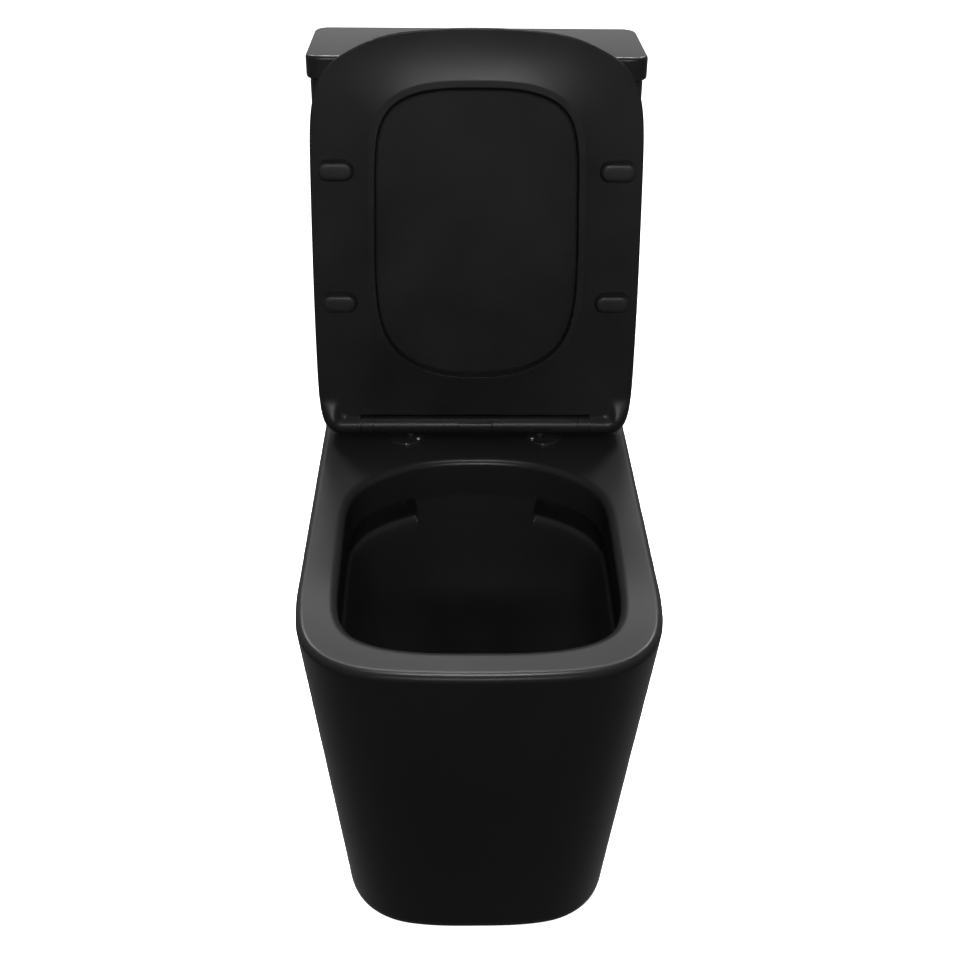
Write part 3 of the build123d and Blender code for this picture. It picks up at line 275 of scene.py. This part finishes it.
def polar(c, centre, angles):
    """The closed curve sampled at these angles about centre: points and outward normals."""
    v = c - np.array(centre)
    a = np.arctan2(v[:, 1], v[:, 0])
    order = np.argsort(a)
    a, q, nn = a[order], c[order], outward(c)[order]
    ang = (np.array(angles) + math.pi) % (2 * math.pi) - math.pi
    f = lambda w: np.interp(ang, a, w, period=2 * math.pi)
    pts = np.stack([f(q[:, 0]), f(q[:, 1])], 1)
    nor = np.stack([f(nn[:, 0]), f(nn[:, 1])], 1)
    nor /= np.linalg.norm(nor, axis=1)[:, None]
    return pts, nor


def shrink(pts, sx, sy, y0, w=0.0, a=1.0, b=1.0, yc=0.0):
    out = []
    for x, y in pts:
        dx, dy = x, (Y_F + y) - y0
        ang = math.atan2(dy / 176.0, dx / 143.0)
        ex, ey = a * math.cos(ang), b * math.sin(ang) + yc
        out.append(((1 - w) * dx * sx + w * ex, (1 - w) * (dy * sy + y0) + w * ey))
    return out


def grid_mesh(name, rings, cap_first=False, cap_last=False, wrap=False, mat4=None):
    """Rings of equal length joined by quads; rings are in millimetres."""
    n = len(rings[0])
    co = np.vstack(rings)
    if mat4 is not None:
        co = co @ np.array(mat4.to_3x3()).T + np.array(mat4.translation)
    co = co * MM
    idx = np.arange(n)
    nxt = np.roll(idx, -1)
    faces = []
    m = len(rings)
    pairs = [(i, i + 1) for i in range(m - 1)] + ([(m - 1, 0)] if wrap else [])
    for i, k in pairs:
        q = np.stack([i * n + idx, i * n + nxt, k * n + nxt, k * n + idx], 1)
        faces.append(q)
    faces = np.vstack(faces).tolist()
    if cap_first:
        faces.append(list(range(n - 1, -1, -1)))
    if cap_last:
        faces.append([(m - 1) * n + j for j in range(n)])
    me = bpy.data.meshes.new(name)
    me.from_pydata(co.tolist(), [], faces)
    me.validate()
    bm = bmesh.new()
    bm.from_mesh(me)
    bmesh.ops.remove_doubles(bm, verts=bm.verts, dist=2e-6)
    bmesh.ops.dissolve_degenerate(bm, dist=1e-6, edges=bm.edges)
    bmesh.ops.recalc_face_normals(bm, faces=bm.faces)
    bm.to_mesh(me)
    bm.free()
    return me


def piece(name, me, mat, body, slot, *nodes, sharp=38.0):
    o = bpy.data.objects.new(name, me)
    scene.collection.objects.link(o)
    me.materials.clear()
    me.materials.append(mat)
    for p in me.polygons:
        p.use_smooth = True
    me.set_sharp_from_angle(angle=math.radians(sharp))
    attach(o, body)
    if nodes:
        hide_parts(*nodes)
    return o


def to_object(name, me):
    o = bpy.data.objects.new(name, me)
    scene.collection.objects.link(o)
    return o


def boolean(target, cutter, op="DIFFERENCE"):
    mod = target.modifiers.new("cut", "BOOLEAN")
    mod.operation, mod.object, mod.solver = op, cutter, "EXACT"
    dg = bpy.context.evaluated_depsgraph_get()
    me = bpy.data.meshes.new_from_object(target.evaluated_get(dg))
    target.modifiers.clear()
    old = target.data
    target.data = me
    bpy.data.meshes.remove(old)
    data = cutter.data
    bpy.data.objects.remove(cutter)
    bpy.data.meshes.remove(data)


def clean(me, dist=4e-6):
    bm = bmesh.new()
    bm.from_mesh(me)
    bmesh.ops.remove_doubles(bm, verts=bm.verts, dist=dist)
    bmesh.ops.dissolve_degenerate(bm, dist=1e-6, edges=bm.edges)
    bmesh.ops.recalc_face_normals(bm, faces=bm.faces)
    bm.to_mesh(me)
    bm.free()


def tube(name, a, b, r, n=64):
    """Closed round bar from a to b, in millimetres, used as a cutter."""
    a, b = Vector(a), Vector(b)
    m = (b - a).to_track_quat("Z", "Y").to_matrix()
    ring = [(m @ Vector((r * math.cos(t), r * math.sin(t), 0))) for t in np.arange(n) / n * 2 * math.pi]
    rings = [np.array([list(a + v) for v in ring]), np.array([list(b + v) for v in ring])]
    return to_object(name, grid_mesh(name, rings, True, True))


def prism(name, pts, lo, hi, place=lambda x, y, z: (x, y, z)):
    rings = [np.array([place(x, y, z) for x, y in pts]) for z in (lo, hi)]
    return to_object(name, grid_mesh(name, rings, True, True))


def rounded(w, h, r, cx=0.0, cy=0.0, k=10):
    out = []
    for qx, qy, a0 in ((1, -1, -90), (1, 1, 0), (-1, 1, 90), (-1, -1, 180)):
        for t in np.linspace(0, 90, k):
            a = math.radians(a0 + t)
            out.append((cx + qx * (w / 2 - r) + r * math.cos(a), cy + qy * (h / 2 - r) + r * math.sin(a)))
    return out


def smooth01(t):
    t = np.clip(t, 0, 1)
    return t * t * (3 - 2 * t)


# --------------------------------------------------------------------- pan
def half_outline(pts, grow, y_back, inset=0.0, k=2500):
    """Front curve, right side, back, left side, k samples on each, counter-clockwise."""
    top = pts[-1][0]
    p = [(x * (1 + grow / top), Y_F + y - grow * (1 - x / top)) for x, y in pts]
    if inset:
        last, q = len(p) - 1, []
        for i, (x, y) in enumerate(p):
            (ax, ay), (bx, by) = p[max(i - 1, 0)], p[min(i + 1, last)]
            tx, ty = (1, 0) if i == 0 else ((0, 1) if i == last else (bx - ax, by - ay))
            size = math.hypot(tx, ty)
            q.append((x - inset * ty / size, y + inset * tx / size))
        p, y_back = q, y_back - inset
    right = spline(p, tangents=[(1, 0), (0, 1)], n=k)
    left = right[::-1] * np.array([-1, 1])
    hw, yc = right[-1]
    line = lambda a, b: np.array(a) + np.linspace(0, 1, k)[:, None] * (np.array(b) - np.array(a))
    return np.vstack([right, line((hw, yc), (hw, y_back)), line((hw, y_back), (-hw, y_back)),
                      line((-hw, y_back), (-hw, yc)), left])


N_PAN = 1200
OUT_RIM = half_outline(RIM_PTS, 0.87, Y_BACK)
OUT_BASE = half_outline(BASE_PTS, 0.0, Y_BACK)
_a = np.unwrap(np.arctan2(OUT_RIM[:, 1] - MID, OUT_RIM[:, 0]))
COLS = _a[0] + np.arange(N_PAN) / N_PAN * 2 * math.pi
for _c in (2 * 2500 - 1, 3 * 2500 - 1):
    COLS[np.argmin(abs(COLS - _a[_c]))] = _a[_c]
_u = np.interp(COLS, _a + np.arange(len(_a)) * 1e-9, np.arange(len(_a)))
pick = lambda c: np.stack([np.interp(_u, np.arange(len(c)), c[:, i]) for i in (0, 1)], 1)
RIM, BASE = pick(OUT_RIM), pick(OUT_BASE)
OPENING = ccw(spline([(x, Y_F + y) for x, y in mirrored(OPEN_PTS)], closed=True, n=6000))
O, O_N = polar(OPENING, (0, MID), COLS)
ROLL = 7.5


def flat(p, z):
    return np.column_stack([p, np.full(len(p), z) if np.isscalar(z) else z])


def build_skirt():
    """Tapered skirt, rim and deck, hollow underneath, as one closed skin."""
    n = N_PAN
    lean = np.linalg.norm(RIM - BASE, axis=1) / RIM_Z
    side = lambda z: BASE + (RIM - BASE) * (z / RIM_Z)
    inward = np.array([0, MID]) - BASE
    inward /= np.linalg.norm(inward, axis=1)[:, None]
    rings = [flat(BASE + inward * 1.4, 0.0), flat(BASE + inward * 0.4, 0.4), flat(side(1.4), 1.4)]
    for z in np.linspace(8, 384, 26):
        rings.append(flat(side(z), z))
    # rounding between the leaning skin and the flat top
    out = outward(RIM)
    back = (np.abs(RIM[:, 1] - Y_BACK) < 0.01)[:, None]
    rho = 8.0
    th = math.pi / 2 - np.arctan(lean)
    length = (rho / np.tan(th / 2))[:, None]
    w = np.sin(th / 2)[:, None]
    d_wall = flat(BASE, 0.0) - flat(RIM, RIM_Z)
    d_wall /= np.linalg.norm(d_wall, axis=1)[:, None]
    d_top = np.column_stack([-out, np.zeros(n)])
    c1 = flat(RIM, RIM_Z)
    c0, c2 = c1 + d_wall * length, c1 + d_top * length
    rear = []
    for t in np.linspace(0, 1, 13):
        b0, b1, b2 = (1 - t) ** 2, 2 * t * (1 - t) * w, t * t
        q = (b0 * c0 + b1 * c1 + b2 * c2) / (b0 + b1 + b2)
        # the wall side keeps a nearly square edge
        e = np.clip(t * 1.5, 0, 1)
        sq = np.column_stack([c1[:, 0], np.full(n, Y_BACK), c0[:, 2] + (RIM_Z - c0[:, 2]) * e])
        sq[:, 0] = np.clip(sq[:, 0], -HW, HW)
        rings.append(np.where(back, sq, q))
    # flat top, then the soft roll into the opening
    start = O + O_N * ROLL * 1.25
    last = rings[-1][:, :2]
    for t in (0.1, 0.3, 0.5, 0.7, 0.9):
        rings.append(flat(last + (start - last) * t, RIM_Z))
    for f in np.linspace(0, 90, 19):
        a = math.radians(f)
        # a flatter lead in on the top, tighter towards the wall
        rings.append(flat(O + O_N * (ROLL * 1.25 * (1 - math.sin(a) ** 0.95)), RIM_Z - ROLL * (1 - math.cos(a))))
    rings.append(flat(O, UNDER + 1.5))
    rings.append(flat(O, UNDER))
    # inside: underside of the deck and the inner wall
    in_rim, in_base = half_outline(RIM_PTS, 0.0, Y_BACK, 11.5), half_outline(BASE_PTS, 0.0, Y_BACK, 10.0)
    ir, ib = pick(in_rim), pick(in_base)
    for z in (UNDER, 300, 200, 100, 0):
        rings.append(flat(ib + (ir - ib) * (z / UNDER), z))
    return grid_mesh("pan_skin", rings, wrap=True)


def bowl_rings():
    """Inside of the bowl from the underside of the deck down to the sump."""
    rings = [flat(O, UNDER), flat(O, 381.0), flat(O, 374.0), flat(O, 367.0), flat(O, 361.0)]
    x, y = O[:, 0], O[:, 1]
    end = Y_F + 292.0
    m = smooth01((np.abs(x) - 70.5) / 2.6) * smooth01((y - end) / 36.0)
    m = np.where(y > MID, m, 0)
    shelf = 0.16 * smooth01((y - (Y_F + 78)) / 40.0) * smooth01((np.abs(x) - 60) / 30)
    m = np.maximum(m, np.where(y < end + 40, shelf, 0))
    p1 = [(0, 357.5), (0.1, 355.6), (0.8, 353.8), (2.4, 352.8), (8, 352.4), (18, 352.2), (27, 351.4), (31.4, 349),
          (32.4, 345), (32.4, 339), (31.4, 334.5), (26.6, 332.2), (18, 331.4), (11.5, 331.3), (8.0, 331.2), (5.2, 330.6),
          (3.0, 329.4), (1.4, 327.2), (0.4, 324.0)]
    p0 = [(0.0, 357.5 - 1.86 * i) for i in range(19)]
    sec = [ccw(spline(shrink(mirrored(OPEN_PTS), sx, sy, MID, w_, a_, b_, yc), closed=True, n=4000))
           for z, sx, sy, w_, a_, b_, yc in BOWL]
    zs = [b[0] for b in BOWL]
    # lower down the columns turn about a centre that moves over to the sump
    track = np.array([polar(c, (0, MID + (SUMP[1] - MID) * (351 - z) / (351 - 56)), COLS)[0] for c, z in zip(sec, zs)])
    def wall(z):
        f = (353.5 - z) / 31.5
        f = np.where(f < 0.08, 0.5 * np.clip(f + 0.08, 0, None) ** 2 / 0.16, f)
        return O + (track[1] - O) * np.clip(f, 0, 1)[:, None]
    for (o1, z1), (o0, z0) in zip(p1, p0):
        z = z0 + (z1 - z0) * m
        rings.append(flat(wall(z) + O_N * (o0 + (o1 - o0) * m)[:, None], z))
    # a smooth curve down each column through the sections
    kz = np.array(zs[1:])
    path = np.concatenate([track[1:], np.broadcast_to(kz[:, None, None], track[1:].shape[:2] + (1,))], 2)
    fl = path.reshape(len(kz), -1)
    t = -kz
    hh, mm = np.diff(-kz), len(kz)
    a, b = np.zeros((mm, mm)), np.zeros_like(fl)
    for i in range(1, mm - 1):
        a[i, i - 1], a[i, i], a[i, i + 1] = hh[i], 2 * (hh[i - 1] + hh[i]), hh[i - 1]
        b[i] = 3 * (hh[i] / hh[i - 1] * (fl[i] - fl[i - 1]) + hh[i - 1] / hh[i] * (fl[i + 1] - fl[i]))
    a[0, 0] = a[-1, -1] = 1
    b[0] = (fl[1] - fl[0]) / hh[0] * 0.8
    b[-1] = (fl[-1] - fl[-2]) / hh[-1]
    d = np.linalg.solve(a, b)
    for u in np.linspace(t[0], t[-1], 44)[1:]:
        k = min(int(np.searchsorted(t, u, side="right") - 1), mm - 2)
        s = (u - t[k]) / hh[k]
        v = ((2 * s**3 - 3 * s**2 + 1) * fl[k] + (s**3 - 2 * s**2 + s) * hh[k] * d[k]
             + (-2 * s**3 + 3 * s**2) * fl[k + 1] + (s**3 - s**2) * hh[k] * d[k + 1])
        rings.append(v.reshape(-1, 3))
    edge = rings[-1][:, :2] - np.array(SUMP[:2])
    for f in (12, 25, 38, 51, 64, 76, 85):
        a_ = math.radians(f)
        rings.append(flat(np.array(SUMP[:2]) + edge * math.cos(a_), SUMP[2] - 41 * math.sin(a_)))
    return rings


def bowl_shell(grow, n=160):
    """Plain outside of the bowl as a closed solid, for the glazed inside to be cut from."""
    ang = np.arange(n) / n * 2 * math.pi
    rings = []
    first = ccw(spline(shrink(mirrored(OPEN_PTS), 0.994 + 11 / 143, 0.994 + 11 / 176, MID), closed=True, n=2000))
    p = polar(first, (0, MID), ang)[0]
    rings += [flat(p, UNDER), flat(p, 366.0), flat(p, 351.0)]
    for k, (z, sx, sy, w_, a_, b_, yc) in enumerate(BOWL[1:], 1):
        c = ccw(spline(shrink(mirrored(OPEN_PTS), sx + grow / 143, sy + grow / 176, MID, w_, a_ + grow, b_ + grow, yc), closed=True, n=2000))
        rings.append(flat(polar(c, (0, MID + (SUMP[1] - MID) * (351 - z) / (351 - 56)), ang)[0], z))
    # smooth between the sections
    st = np.array(rings[3:])
    zz = st[:, 0, 2]
    fine = []
    for z in np.linspace(zz[0], zz[-1], 30):
        k = int(np.clip(np.searchsorted(-zz, -z, side="right") - 1, 0, len(zz) - 2))
        f = (zz[k] - z) / (zz[k] - zz[k + 1])
        fine.append(st[k] * (1 - f) + st[k + 1] * f)
    rings = rings[:3] + fine
    edge = rings[-1][:, :2] - np.array(SUMP[:2])
    for f in (18, 36, 54, 70, 82):
        a_ = math.radians(f)
        rings.append(flat(np.array(SUMP[:2]) + edge * math.cos(a_), SUMP[2] - 51 * math.sin(a_)))
    return grid_mesh("bowl_outside", rings, True, True)


def build_bowl():
    inner = bowl_rings()
    body = to_object("bowl_work", bowl_shell(10.0))
    # gallery walls and the boss that seats the coupling gasket
    wide = shrink(mirrored(OPEN_PTS), 1 + 38 / 143, 1 + 38 / 176, MID)
    wide = ccw(spline(wide, closed=True, n=240))
    wide = wide[(wide[:, 1] > -30)]
    wide[:, 0] = np.clip(wide[:, 0], -165.5, 165.5)
    boolean(body, prism("g1", [tuple(p) for p in wide], 322.2, 361.8), "UNION")
    boolean(body, prism("g2", [(-66, 79), (66, 79), (66, 308.8), (-66, 308.8)], 322.0, 362.0), "UNION")
    boolean(body, tube("g3", (0, 250, 352.3), (0, 250, UNDER), 57, 96), "UNION")
    up = [flat(O, UNDER + 6)] + inner
    boolean(body, to_object("g4", grid_mesh("g4", up, True, True)))
    # flush way from the gasket seat to the outlets
    boolean(body, prism("g5", [(-54, 92), (54, 92), (54, 300), (-54, 300)], 331.1, 352.9))
    boolean(body, prism("g6", [(-100, 87), (100, 87), (100, 107), (-100, 107)], 331.3, 352.6))
    boolean(body, tube("g7", (0, 250, 376), (0, 250, 395), 48, 96))
    boolean(body, tube("g8", (0, 250, 345), (0, 250, 380), 34, 72))
    boolean(body, tube("g9", (0, SUMP[1], 56), (0, SUMP[1] + 90, 56), 41, 96))
    me = body.data
    bpy.data.objects.remove(body)
    clean(me)
    return me


def build_pan():
    body = to_object("pan_work", build_skirt())
    for x, y, r in ((-77.5, HY, 7.5), (77.5, HY, 7.5), (0, 250, 48), (-95, 250, 7), (95, 250, 7), (138, 250, 25)):
        boolean(body, tube("h", (x, y, UNDER - 6), (x, y, RIM_Z + 6), r, 64))
    for sx in (-1, 1):
        boolean(body, tube("h", (sx * 200, 200, 45), (sx * 125, 200, 45), 4.5, 40))
        boolean(body, tube("h", (sx * 200, 200, 45), (sx * 148.5, 200, 45), 11.0, 72))
    boolean(body, prism("h", rounded(190, 290, 40, 0, 130), Y_BACK - 14.5, Y_BACK + 4, lambda x, z, y: (x, y, z)))
    me = body.data
    bpy.data.objects.remove(body)
    clean(me)
    return me


piece("pan_body", build_pan(), M["glaze"], "toilet", "glaze", "pan")
piece("bowl_inside", build_bowl(), M["glaze"], "toilet", "glaze", "bowl")


# --------------------------------------------------------------- seat ring
SEAT_M = Matrix(((1, 0, 0, 0), (0, math.sin(LEAN), math.cos(LEAN), HY), (0, math.cos(LEAN), -math.sin(LEAN), HZ), (0, 0, 0, 1)))
# seat coordinates are x, s up the raised seat from the hinge, and d behind the hinge plane


def seat_outline(n=8000):
    """Plan outline of the ring with broad round rear corners."""
    pts = [(157 + 24.6 * math.sin(math.radians(t)), 13 - 24.4 * math.cos(math.radians(t))) for t in (0, 20, 40, 60, 78)]
    pts += SEAT_PTS[1:]
    left = [(-x, y) for x, y in reversed(pts[:-1])]
    c = spline(pts + left, tangents=[(1, 0), (1, 0)], n=n)
    k = 900
    base = np.column_stack([np.linspace(-157, 157, k)[1:-1], np.full(k - 2, 13 - 24.4)])
    return ccw(np.vstack([c, base]))


def by_arc(c, n):
    seg = np.linalg.norm(np.diff(np.vstack([c, c[:1]]), axis=0), axis=1)
    t = np.concatenate([[0], np.cumsum(seg)])
    u = np.arange(n) / n * t[-1]
    cc = np.vstack([c, c[:1]])
    return np.stack([np.interp(u, t, cc[:, i]) for i in (0, 1)], 1), u / t[-1]


def build_ring():
    """Seat ring: crowned underside, soft roll into the opening, round cheeks about the hinge line."""
    n = 1200
    outer, _ = by_arc(seat_outline(), n)
    out_n = outward(outer)
    outer = outer - out_n * 0.06
    opening = ccw(spline(mirrored(SEAT_OPEN), closed=True, n=8000))
    cen = (0, 232.0)
    ang = np.arctan2(outer[:, 1] - cen[1], outer[:, 0] - cen[0])
    inner, inner_n = polar(opening, cen, ang)
    x, s = outer[:, 0], outer[:, 1]
    # weight of the round cheek: full along the rear edge, gone a little way up the side
    cheek = 1 - smooth01((s - 2.0) / 34.0)
    R = 11.3
    high = smooth01((inner[:, 1] - 250) / 110.0)
    low = 1 - smooth01((inner[:, 1] - 66) / 50.0)
    roll_w = 7.4 + 1.2 * high - 4.2 * low            # the band is broader at the front of the opening
    roll_d = 4.2 - 0.8 * low
    slab = lambda t: -8.0 + 5.6 * (1 - (1 - np.clip(t, 0, 1)) ** 2.2)
    a_pt = inner + inner_n * roll_w[:, None]

    def front(e, t):
        """Depth of the underside e inside the outer edge, t of the way from the opening."""
        q = np.clip(1 - e / 1.4, 0, 1)
        side = slab(t) + 1.4 * (1 - np.sqrt(1 - q * q))
        c = -np.sqrt(np.maximum(R * R - (e - R) ** 2, 0.0))
        far = np.where(e > R, 1.0, 0.0)
        base = np.where(e > R, slab(t), 0.0)
        k = 8.0
        h = np.clip(0.5 + 0.5 * (base - c) / k, 0, 1)
        soft = base * (1 - h) + c * h - k * h * (1 - h)
        merged = np.where(e > R, soft, c)
        return side * (1 - cheek) + merged * cheek

    plan, deep = [], []
    for d in (3.5, 2.0):
        plan.append(inner.copy()); deep.append(np.full(n, d))
    f0 = slab(0.0)
    # a nearly flat band and a tight round: share of the width, share of the depth
    slope = [(0.20 * q * q, (1 - q) ** 2 - 0.10 * q * (1 - q) - 0.06 * q * q) for q in np.linspace(0, 1, 9)]
    slope += [(0.20 + 0.80 * q, -0.06 * (1 - q)) for q in np.linspace(0, 1, 9)[1:]]
    for wf, df in slope:
        plan.append(inner + inner_n * (roll_w * wf)[:, None])
        deep.append(f0 + roll_d * df)
    # across the underside to 26 mm from the edge, then by distance from the edge
    reach = 24.0 - 7.0 * (1 - smooth01((s - 15.0) / 40.0))
    b_pt = outer - out_n * reach[:, None]
    span = np.linalg.norm(b_pt - a_pt, axis=1)
    whole = span + reach
    for i in range(1, 27):
        u = i / 26
        p = a_pt + (b_pt - a_pt) * u
        plan.append(p)
        deep.append(front(reach + span * (1 - u), span * u / whole))
    for e in (21, 18.2, 15.6, 13.4, 11.3, 9.4, 7.6, 6.0, 4.6, 3.5, 2.6, 1.8, 1.15, 0.65, 0.28, 0.07, 0.0):
        e = e * reach / 24.0
        plan.append(outer - out_n * e[:, None])
        deep.append(front(e, (whole - e) / whole))
    # back of the ring
    def back(e):
        q = np.clip(1 - e / 5.0, 0, 1)
        side = 7.0 - 5.0 * (1 - np.sqrt(1 - q * q))
        c = np.minimum(7.0, np.sqrt(np.maximum(R * R - (e - R) ** 2, 0.0))) if e < R else 7.0
        return side * (1 - cheek) + c * cheek
    for e in (0.0, 0.12, 0.5, 1.1, 1.9, 2.9, 4.0, 5.0, 7.0):
        plan.append(outer - out_n * e)
        deep.append(back(e))
    for t in (0.3, 0.6, 1.0):
        plan.append(outer - out_n * 7.0 + (inner + inner_n * 8.0 - outer + out_n * 7.0) * t); deep.append(np.full(n, 7.0))
    for f in np.linspace(90, 12, 7):
        a = math.radians(f)
        plan.append(inner + inner_n * 3.5 * (1 - math.cos(a)))
        deep.append(np.full(n, 3.5 + 3.5 * math.sin(a)))
    rings = [np.column_stack([p, d]) for p, d in zip(plan, deep)]
    body = to_object("ring_work", grid_mesh("seat_ring_skin", rings, wrap=True, mat4=SEAT_M))
    # room for the hinge bar between the cheeks, and the bores for its pins
    box = [(-136.1, -20), (136.1, -20), (136.1, 14.5), (-136.1, 14.5)]
    place = lambda px, ps, pd: tuple(np.array(SEAT_M.to_3x3()) @ np.array((px, ps, pd)) + np.array(SEAT_M.translation))
    boolean(body, prism("slot", box, -30, 30, place))
    for sx in (-1, 1):
        boolean(body, tube("pin", (sx * 130, HY, HZ), (sx * 150.6, HY, HZ), 4.05, 48))
    me = body.data
    bpy.data.objects.remove(body)
    clean(me)
    return me


def build_bumpers():
    """Soft two step pads under the ring."""
    bms = bmesh.new()
    for px, ps in [(sx * x, s) for sx in (-1, 1) for x, s in ((153.5, 306.2), (154.8, 155.9))]:
        # long half axis, short half axis and depth
        prof = [(19.6, 10.9, -1.5), (19.6, 10.9, -7.8), (19.5, 10.8, -8.8), (19.1, 10.4, -9.5), (18.8, 10.0, -9.8),
                (18.8, 9.9, -10.2), (19.0, 10.0, -10.8), (19.0, 10.0, -12.2), (18.8, 9.8, -13.3), (18.2, 9.2, -14.3),
                (17.2, 8.2, -15.1), (15.6, 6.6, -15.5), (13.0, 4.0, -15.7)]
        rings = []
        for lx, ly, d in prof:
            o = rounded(2 * lx, 2 * ly, ly * 0.96, px, ps, 14)
            rings.append(np.column_stack([np.array(o), np.full(len(o), d)]))
        me = grid_mesh("pad", rings, True, True, mat4=SEAT_M)
        bms.from_mesh(me)
        bpy.data.meshes.remove(me)
    me = bpy.data.meshes.new("ring_pads")
    bms.to_mesh(me)
    bms.free()
    return me


piece("seat_ring_body", build_ring(), M["seat"], "seat", "seat_plastic", "seat_ring", sharp=40)
piece("ring_pads", build_bumpers(), M["bumper"], "seat", "bumper_rubber", "ring_bumpers", sharp=50)


# ------------------------------------------------------------------- stage
def make_floor():
    """Round paper floor that curves up into a wall all the way round."""
    bm = bmesh.new()
    n, hub = 96, None
    section = [(1.5, 0.0), (3.0, 0.0), (4.5, 0.0)]
    section += [(4.5 + 2.5 * math.sin(a), 2.5 - 2.5 * math.cos(a)) for a in np.linspace(0, math.pi / 2, 13)[1:]]
    section += [(7.0, 5.0), (7.0, 9.0)]
    hub = bm.verts.new((0, 0, 0))
    rows = [[bm.verts.new((r * math.cos(2 * math.pi * k / n), r * math.sin(2 * math.pi * k / n), z)) for k in range(n)]
            for r, z in section]
    for k in range(n):
        bm.faces.new((hub, rows[0][k], rows[0][(k + 1) % n]))
    for a, b in zip(rows, rows[1:]):
        for k in range(n):
            bm.faces.new((a[k], b[k], b[(k + 1) % n], a[(k + 1) % n]))
    me = bpy.data.meshes.new("floor")
    bm.to_mesh(me)
    bm.free()
    for p in me.polygons:
        p.use_smooth = True
    o = bpy.data.objects.new("floor", me)
    scene.collection.objects.link(o)
    m, nt, bsdf = material("floor_paint")
    tc = nt.nodes.new("ShaderNodeTexCoord").outputs["Object"]
    nn = noise(nt, tc, 3.0, 3.0)
    c = ramp(nt, nn.outputs["Fac"], [(0.3, (0.86, 0.86, 0.86)), (0.7, (0.88, 0.88, 0.88))])
    nt.links.new(c.outputs["Color"], bsdf.inputs["Base Color"])
    set_in(bsdf, Roughness=0.9)
    bsdf.inputs["Specular IOR Level"].default_value = 0.1
    # evenly self lit white paper, which throws no light back on the object
    bsdf.inputs["Emission Color"].default_value = (1, 1, 1, 1)
    bsdf.inputs["Emission Strength"].default_value = PAPER
    o.visible_diffuse = False
    o.visible_glossy = False
    o.visible_shadow = False
    me.materials.append(m)
    return o


PAPER = 0.9
make_floor()


def area(name, loc, target, size, power, spread=None):
    d = bpy.data.lights.new(name, "AREA")
    d.shape = "RECTANGLE"
    d.size, d.size_y = size
    d.energy = power
    if spread:
        d.spread = math.radians(spread)
    o = bpy.data.objects.new(name, d)
    scene.collection.objects.link(o)
    o.location = loc
    o.rotation_euler = (Vector(target) - Vector(loc)).to_track_quat("-Z", "Y").to_euler()
    return o


world = bpy.data.worlds.new("studio")
scene.world = world
world.use_nodes = True
bg = world.node_tree.nodes["Background"]
wn = world.node_tree
sky = wn.nodes.new("ShaderNodeSeparateXYZ")
wn.links.new(wn.nodes.new("ShaderNodeTexCoord").outputs["Generated"], sky.inputs[0])
dome = wn.nodes.new("ShaderNodeMapRange")
dome.interpolation_type = "SMOOTHSTEP"
for k, v in (("From Min", -0.10), ("From Max", 0.12), ("To Min", 0.42), ("To Max", 1.0)):
    dome.inputs[k].default_value = v
wn.links.new(sky.outputs["Z"], dome.inputs["Value"])
wn.links.new(dome.outputs["Result"], bg.inputs["Color"])
bg.inputs["Strength"].default_value = 0.62

area("back_soft", (0.0, 2.1, 3.1), (0, 0.76, 0.88), (1.8, 0.62), 47, spread=20)
area("front_soft", (0.0, -3.4, 2.2), (0, 0.1, 0.72), (2.2, 0.6), 11, spread=20)
area("top_soft", (0.0, -0.45, 3.4), (0, -0.15, 0.1), (0.36, 0.3), 1.6, spread=9)
for side, sx in (("left", -1), ("right", 1)):
    area(side + "_soft", (sx * 1.25, 1.9, 2.5), (sx * 0.17, 0.0, 0.4), (0.6, 0.5), 1.4, spread=16)

for o in NODES.values():
    for p in o.data.polygons:
        p.use_smooth = True
